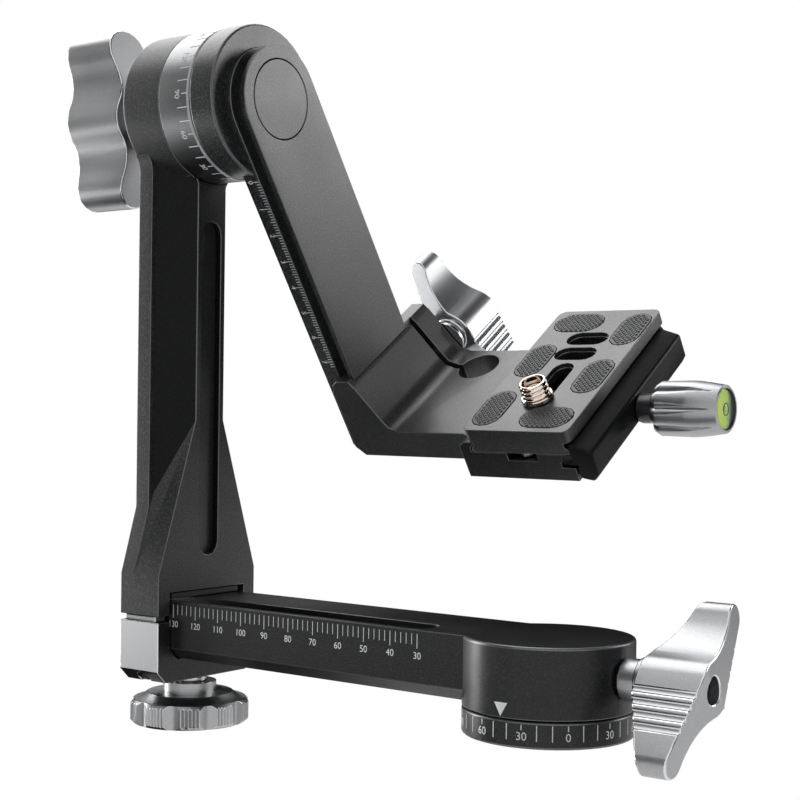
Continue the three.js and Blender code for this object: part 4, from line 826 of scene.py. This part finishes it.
# studio
def makeLight(name, place, aim, size, power):
    data = bpy.data.lights.new(name, "AREA")
    data.shape = "RECTANGLE"
    data.size, data.size_y = size
    data.energy = power
    light = bpy.data.objects.new(name, data)
    bpy.context.scene.collection.objects.link(light)
    light.location = place
    light.rotation_euler = (Vector(aim) - Vector(place)).to_track_quat("-Z", "Y").to_euler()
    light.visible_camera = False
    return light


def seenRays(node, link):
    # camera, glossy and transmission rays together
    path, first, second = (node("ShaderNodeLightPath"), node("ShaderNodeMath"),
                           node("ShaderNodeMath"))
    first.operation = second.operation = "MAXIMUM"
    link(path.outputs["Is Camera Ray"], first.inputs[0])
    link(path.outputs["Is Glossy Ray"], first.inputs[1])
    link(first.outputs[0], second.inputs[0])
    link(path.outputs["Is Transmission Ray"], second.inputs[1])
    return second.outputs[0]


def floorFinish():
    # reads white to the camera and in gloss or glass, and plain grey to the light
    finish, node, link = newFinish("studioFloor")
    out, mix = node("ShaderNodeOutputMaterial"), node("ShaderNodeMixShader")
    diffuse, glow = node("ShaderNodeBsdfDiffuse"), node("ShaderNodeEmission")
    setInputs(diffuse, Color=(0.8, 0.8, 0.8, 1))
    setInputs(glow, Strength=1)
    link(seenRays(node, link), mix.inputs["Fac"])
    link(diffuse.outputs["BSDF"], mix.inputs[1])
    link(glow.outputs["Emission"], mix.inputs[2])
    link(mix.outputs["Shader"], out.inputs["Surface"])
    return finish


def cardFinish():
    finish, node, link = newFinish("blackCard")
    out, diffuse = node("ShaderNodeOutputMaterial"), node("ShaderNodeBsdfDiffuse")
    setInputs(diffuse, Color=(0.004, 0.004, 0.004, 1))
    link(diffuse.outputs["BSDF"], out.inputs["Surface"])
    return finish


def makeSheet(name, size, place, finish):
    work = bmesh.new()
    bmesh.ops.create_grid(work, x_segments=2, y_segments=2, size=0.5,
                          matrix=place @ Matrix.Diagonal((size[0], size[1], 1, 1)))
    sheet = bpy.data.objects.new(name, toMesh(work, name))
    bpy.context.scene.collection.objects.link(sheet)
    sheet.data.materials.append(finish)
    return sheet


def makeCard(name, size, spot, aim, finish):
    # a black card that only gloss sees, to shape the dark side of the metal
    turn = (Vector(aim) - Vector(spot)).to_track_quat("Z", "Y").to_matrix().to_4x4()
    card = makeSheet(name, size, Matrix.Translation(spot) @ turn, finish)
    card.visible_camera = card.visible_diffuse = False
    card.visible_shadow = card.visible_transmission = False


def makeWorld():
    world = bpy.data.worlds.new("studio")
    bpy.context.scene.world = world
    world.use_nodes = True
    tree = world.node_tree
    tree.nodes.clear()
    node, link = tree.nodes.new, tree.links.new
    out, mix = node("ShaderNodeOutputWorld"), node("ShaderNodeMixShader")
    seen, lit = node("ShaderNodeBackground"), node("ShaderNodeBackground")
    setInputs(seen, Color=(1, 1, 1, 1))
    setInputs(lit, Color=(0.8, 0.85, 0.9, 1), Strength=0.3)
    link(seenRays(node, link), mix.inputs["Fac"])
    link(lit.outputs["Background"], mix.inputs[1])
    link(seen.outputs["Background"], mix.inputs[2])
    link(mix.outputs["Shader"], out.inputs["Surface"])


floorSet = {"size": (6, 6), "drop": 0.25}
floorPlace = Matrix.Translation((0, 0, cadBox[0][2] - floorSet["drop"]))
makeSheet("floor", floorSet["size"], floorPlace, floorFinish())
blackCard = cardFinish()
makeWorld()
middle = (-0.06, 0.03, 0.1)

# name, size, place and aim
cards = [
    ("backCard", (3.4, 1.7), (-0.75, 1.3, 0.35), (-0.1, 0, 0.35)),
    ("leftHighCard", (1.3, 1.1), (-0.85, -0.75, 0.6), (-0.1, 0.1, 0.56)),
    ("rightCard", (1.7, 1.5), (1.15, 0.75, 0.2), (-0.1, 0, 0.2)),
    ("leftCard", (1.1, 1.2), (-1.5, 0.35, 0.3), (-0.1, 0, 0.3)),
    ("underCard", (0.45, 0.45), (-0.37, -0.16, -0.1), (-0.37, -0.16, 1)),
    ("columnCard", (0.42, 0.36), (-0.33, -0.28, 0.25), (-0.15, 0, 0.25)),
    ("overRightCard", (0.8, 0.8), (0.45, 0.28, 0.95), middle),
]
for card in cards:
    makeCard(*card, blackCard)

# name, place, aim, size and power
lights = [
    ("topLeft", (-0.72, 0.27, 0.95), middle, (1.1, 1.1), 8.5),
    ("leftStrip", (-1.1, -0.2, 0.2), middle, (0.35, 0.8), 8),
    ("backRight", (0.62, 1.0, 0.56), (-0.1, 0, 0.2), (0.7, 0.4), 5),
    ("lowRight", (0.75, 1.0, 0.05), (-0.12, 0, 0.1), (0.5, 0.5), 0.9),
]
for light in lights:
    makeLight(*light)
makeLight("frontFill", (0.1, -1.1, 0.6), middle, (0.6, 0.4), 2).visible_glossy = False
bpy.context.scene.view_settings.view_transform = "Standard"
print("studio lit")
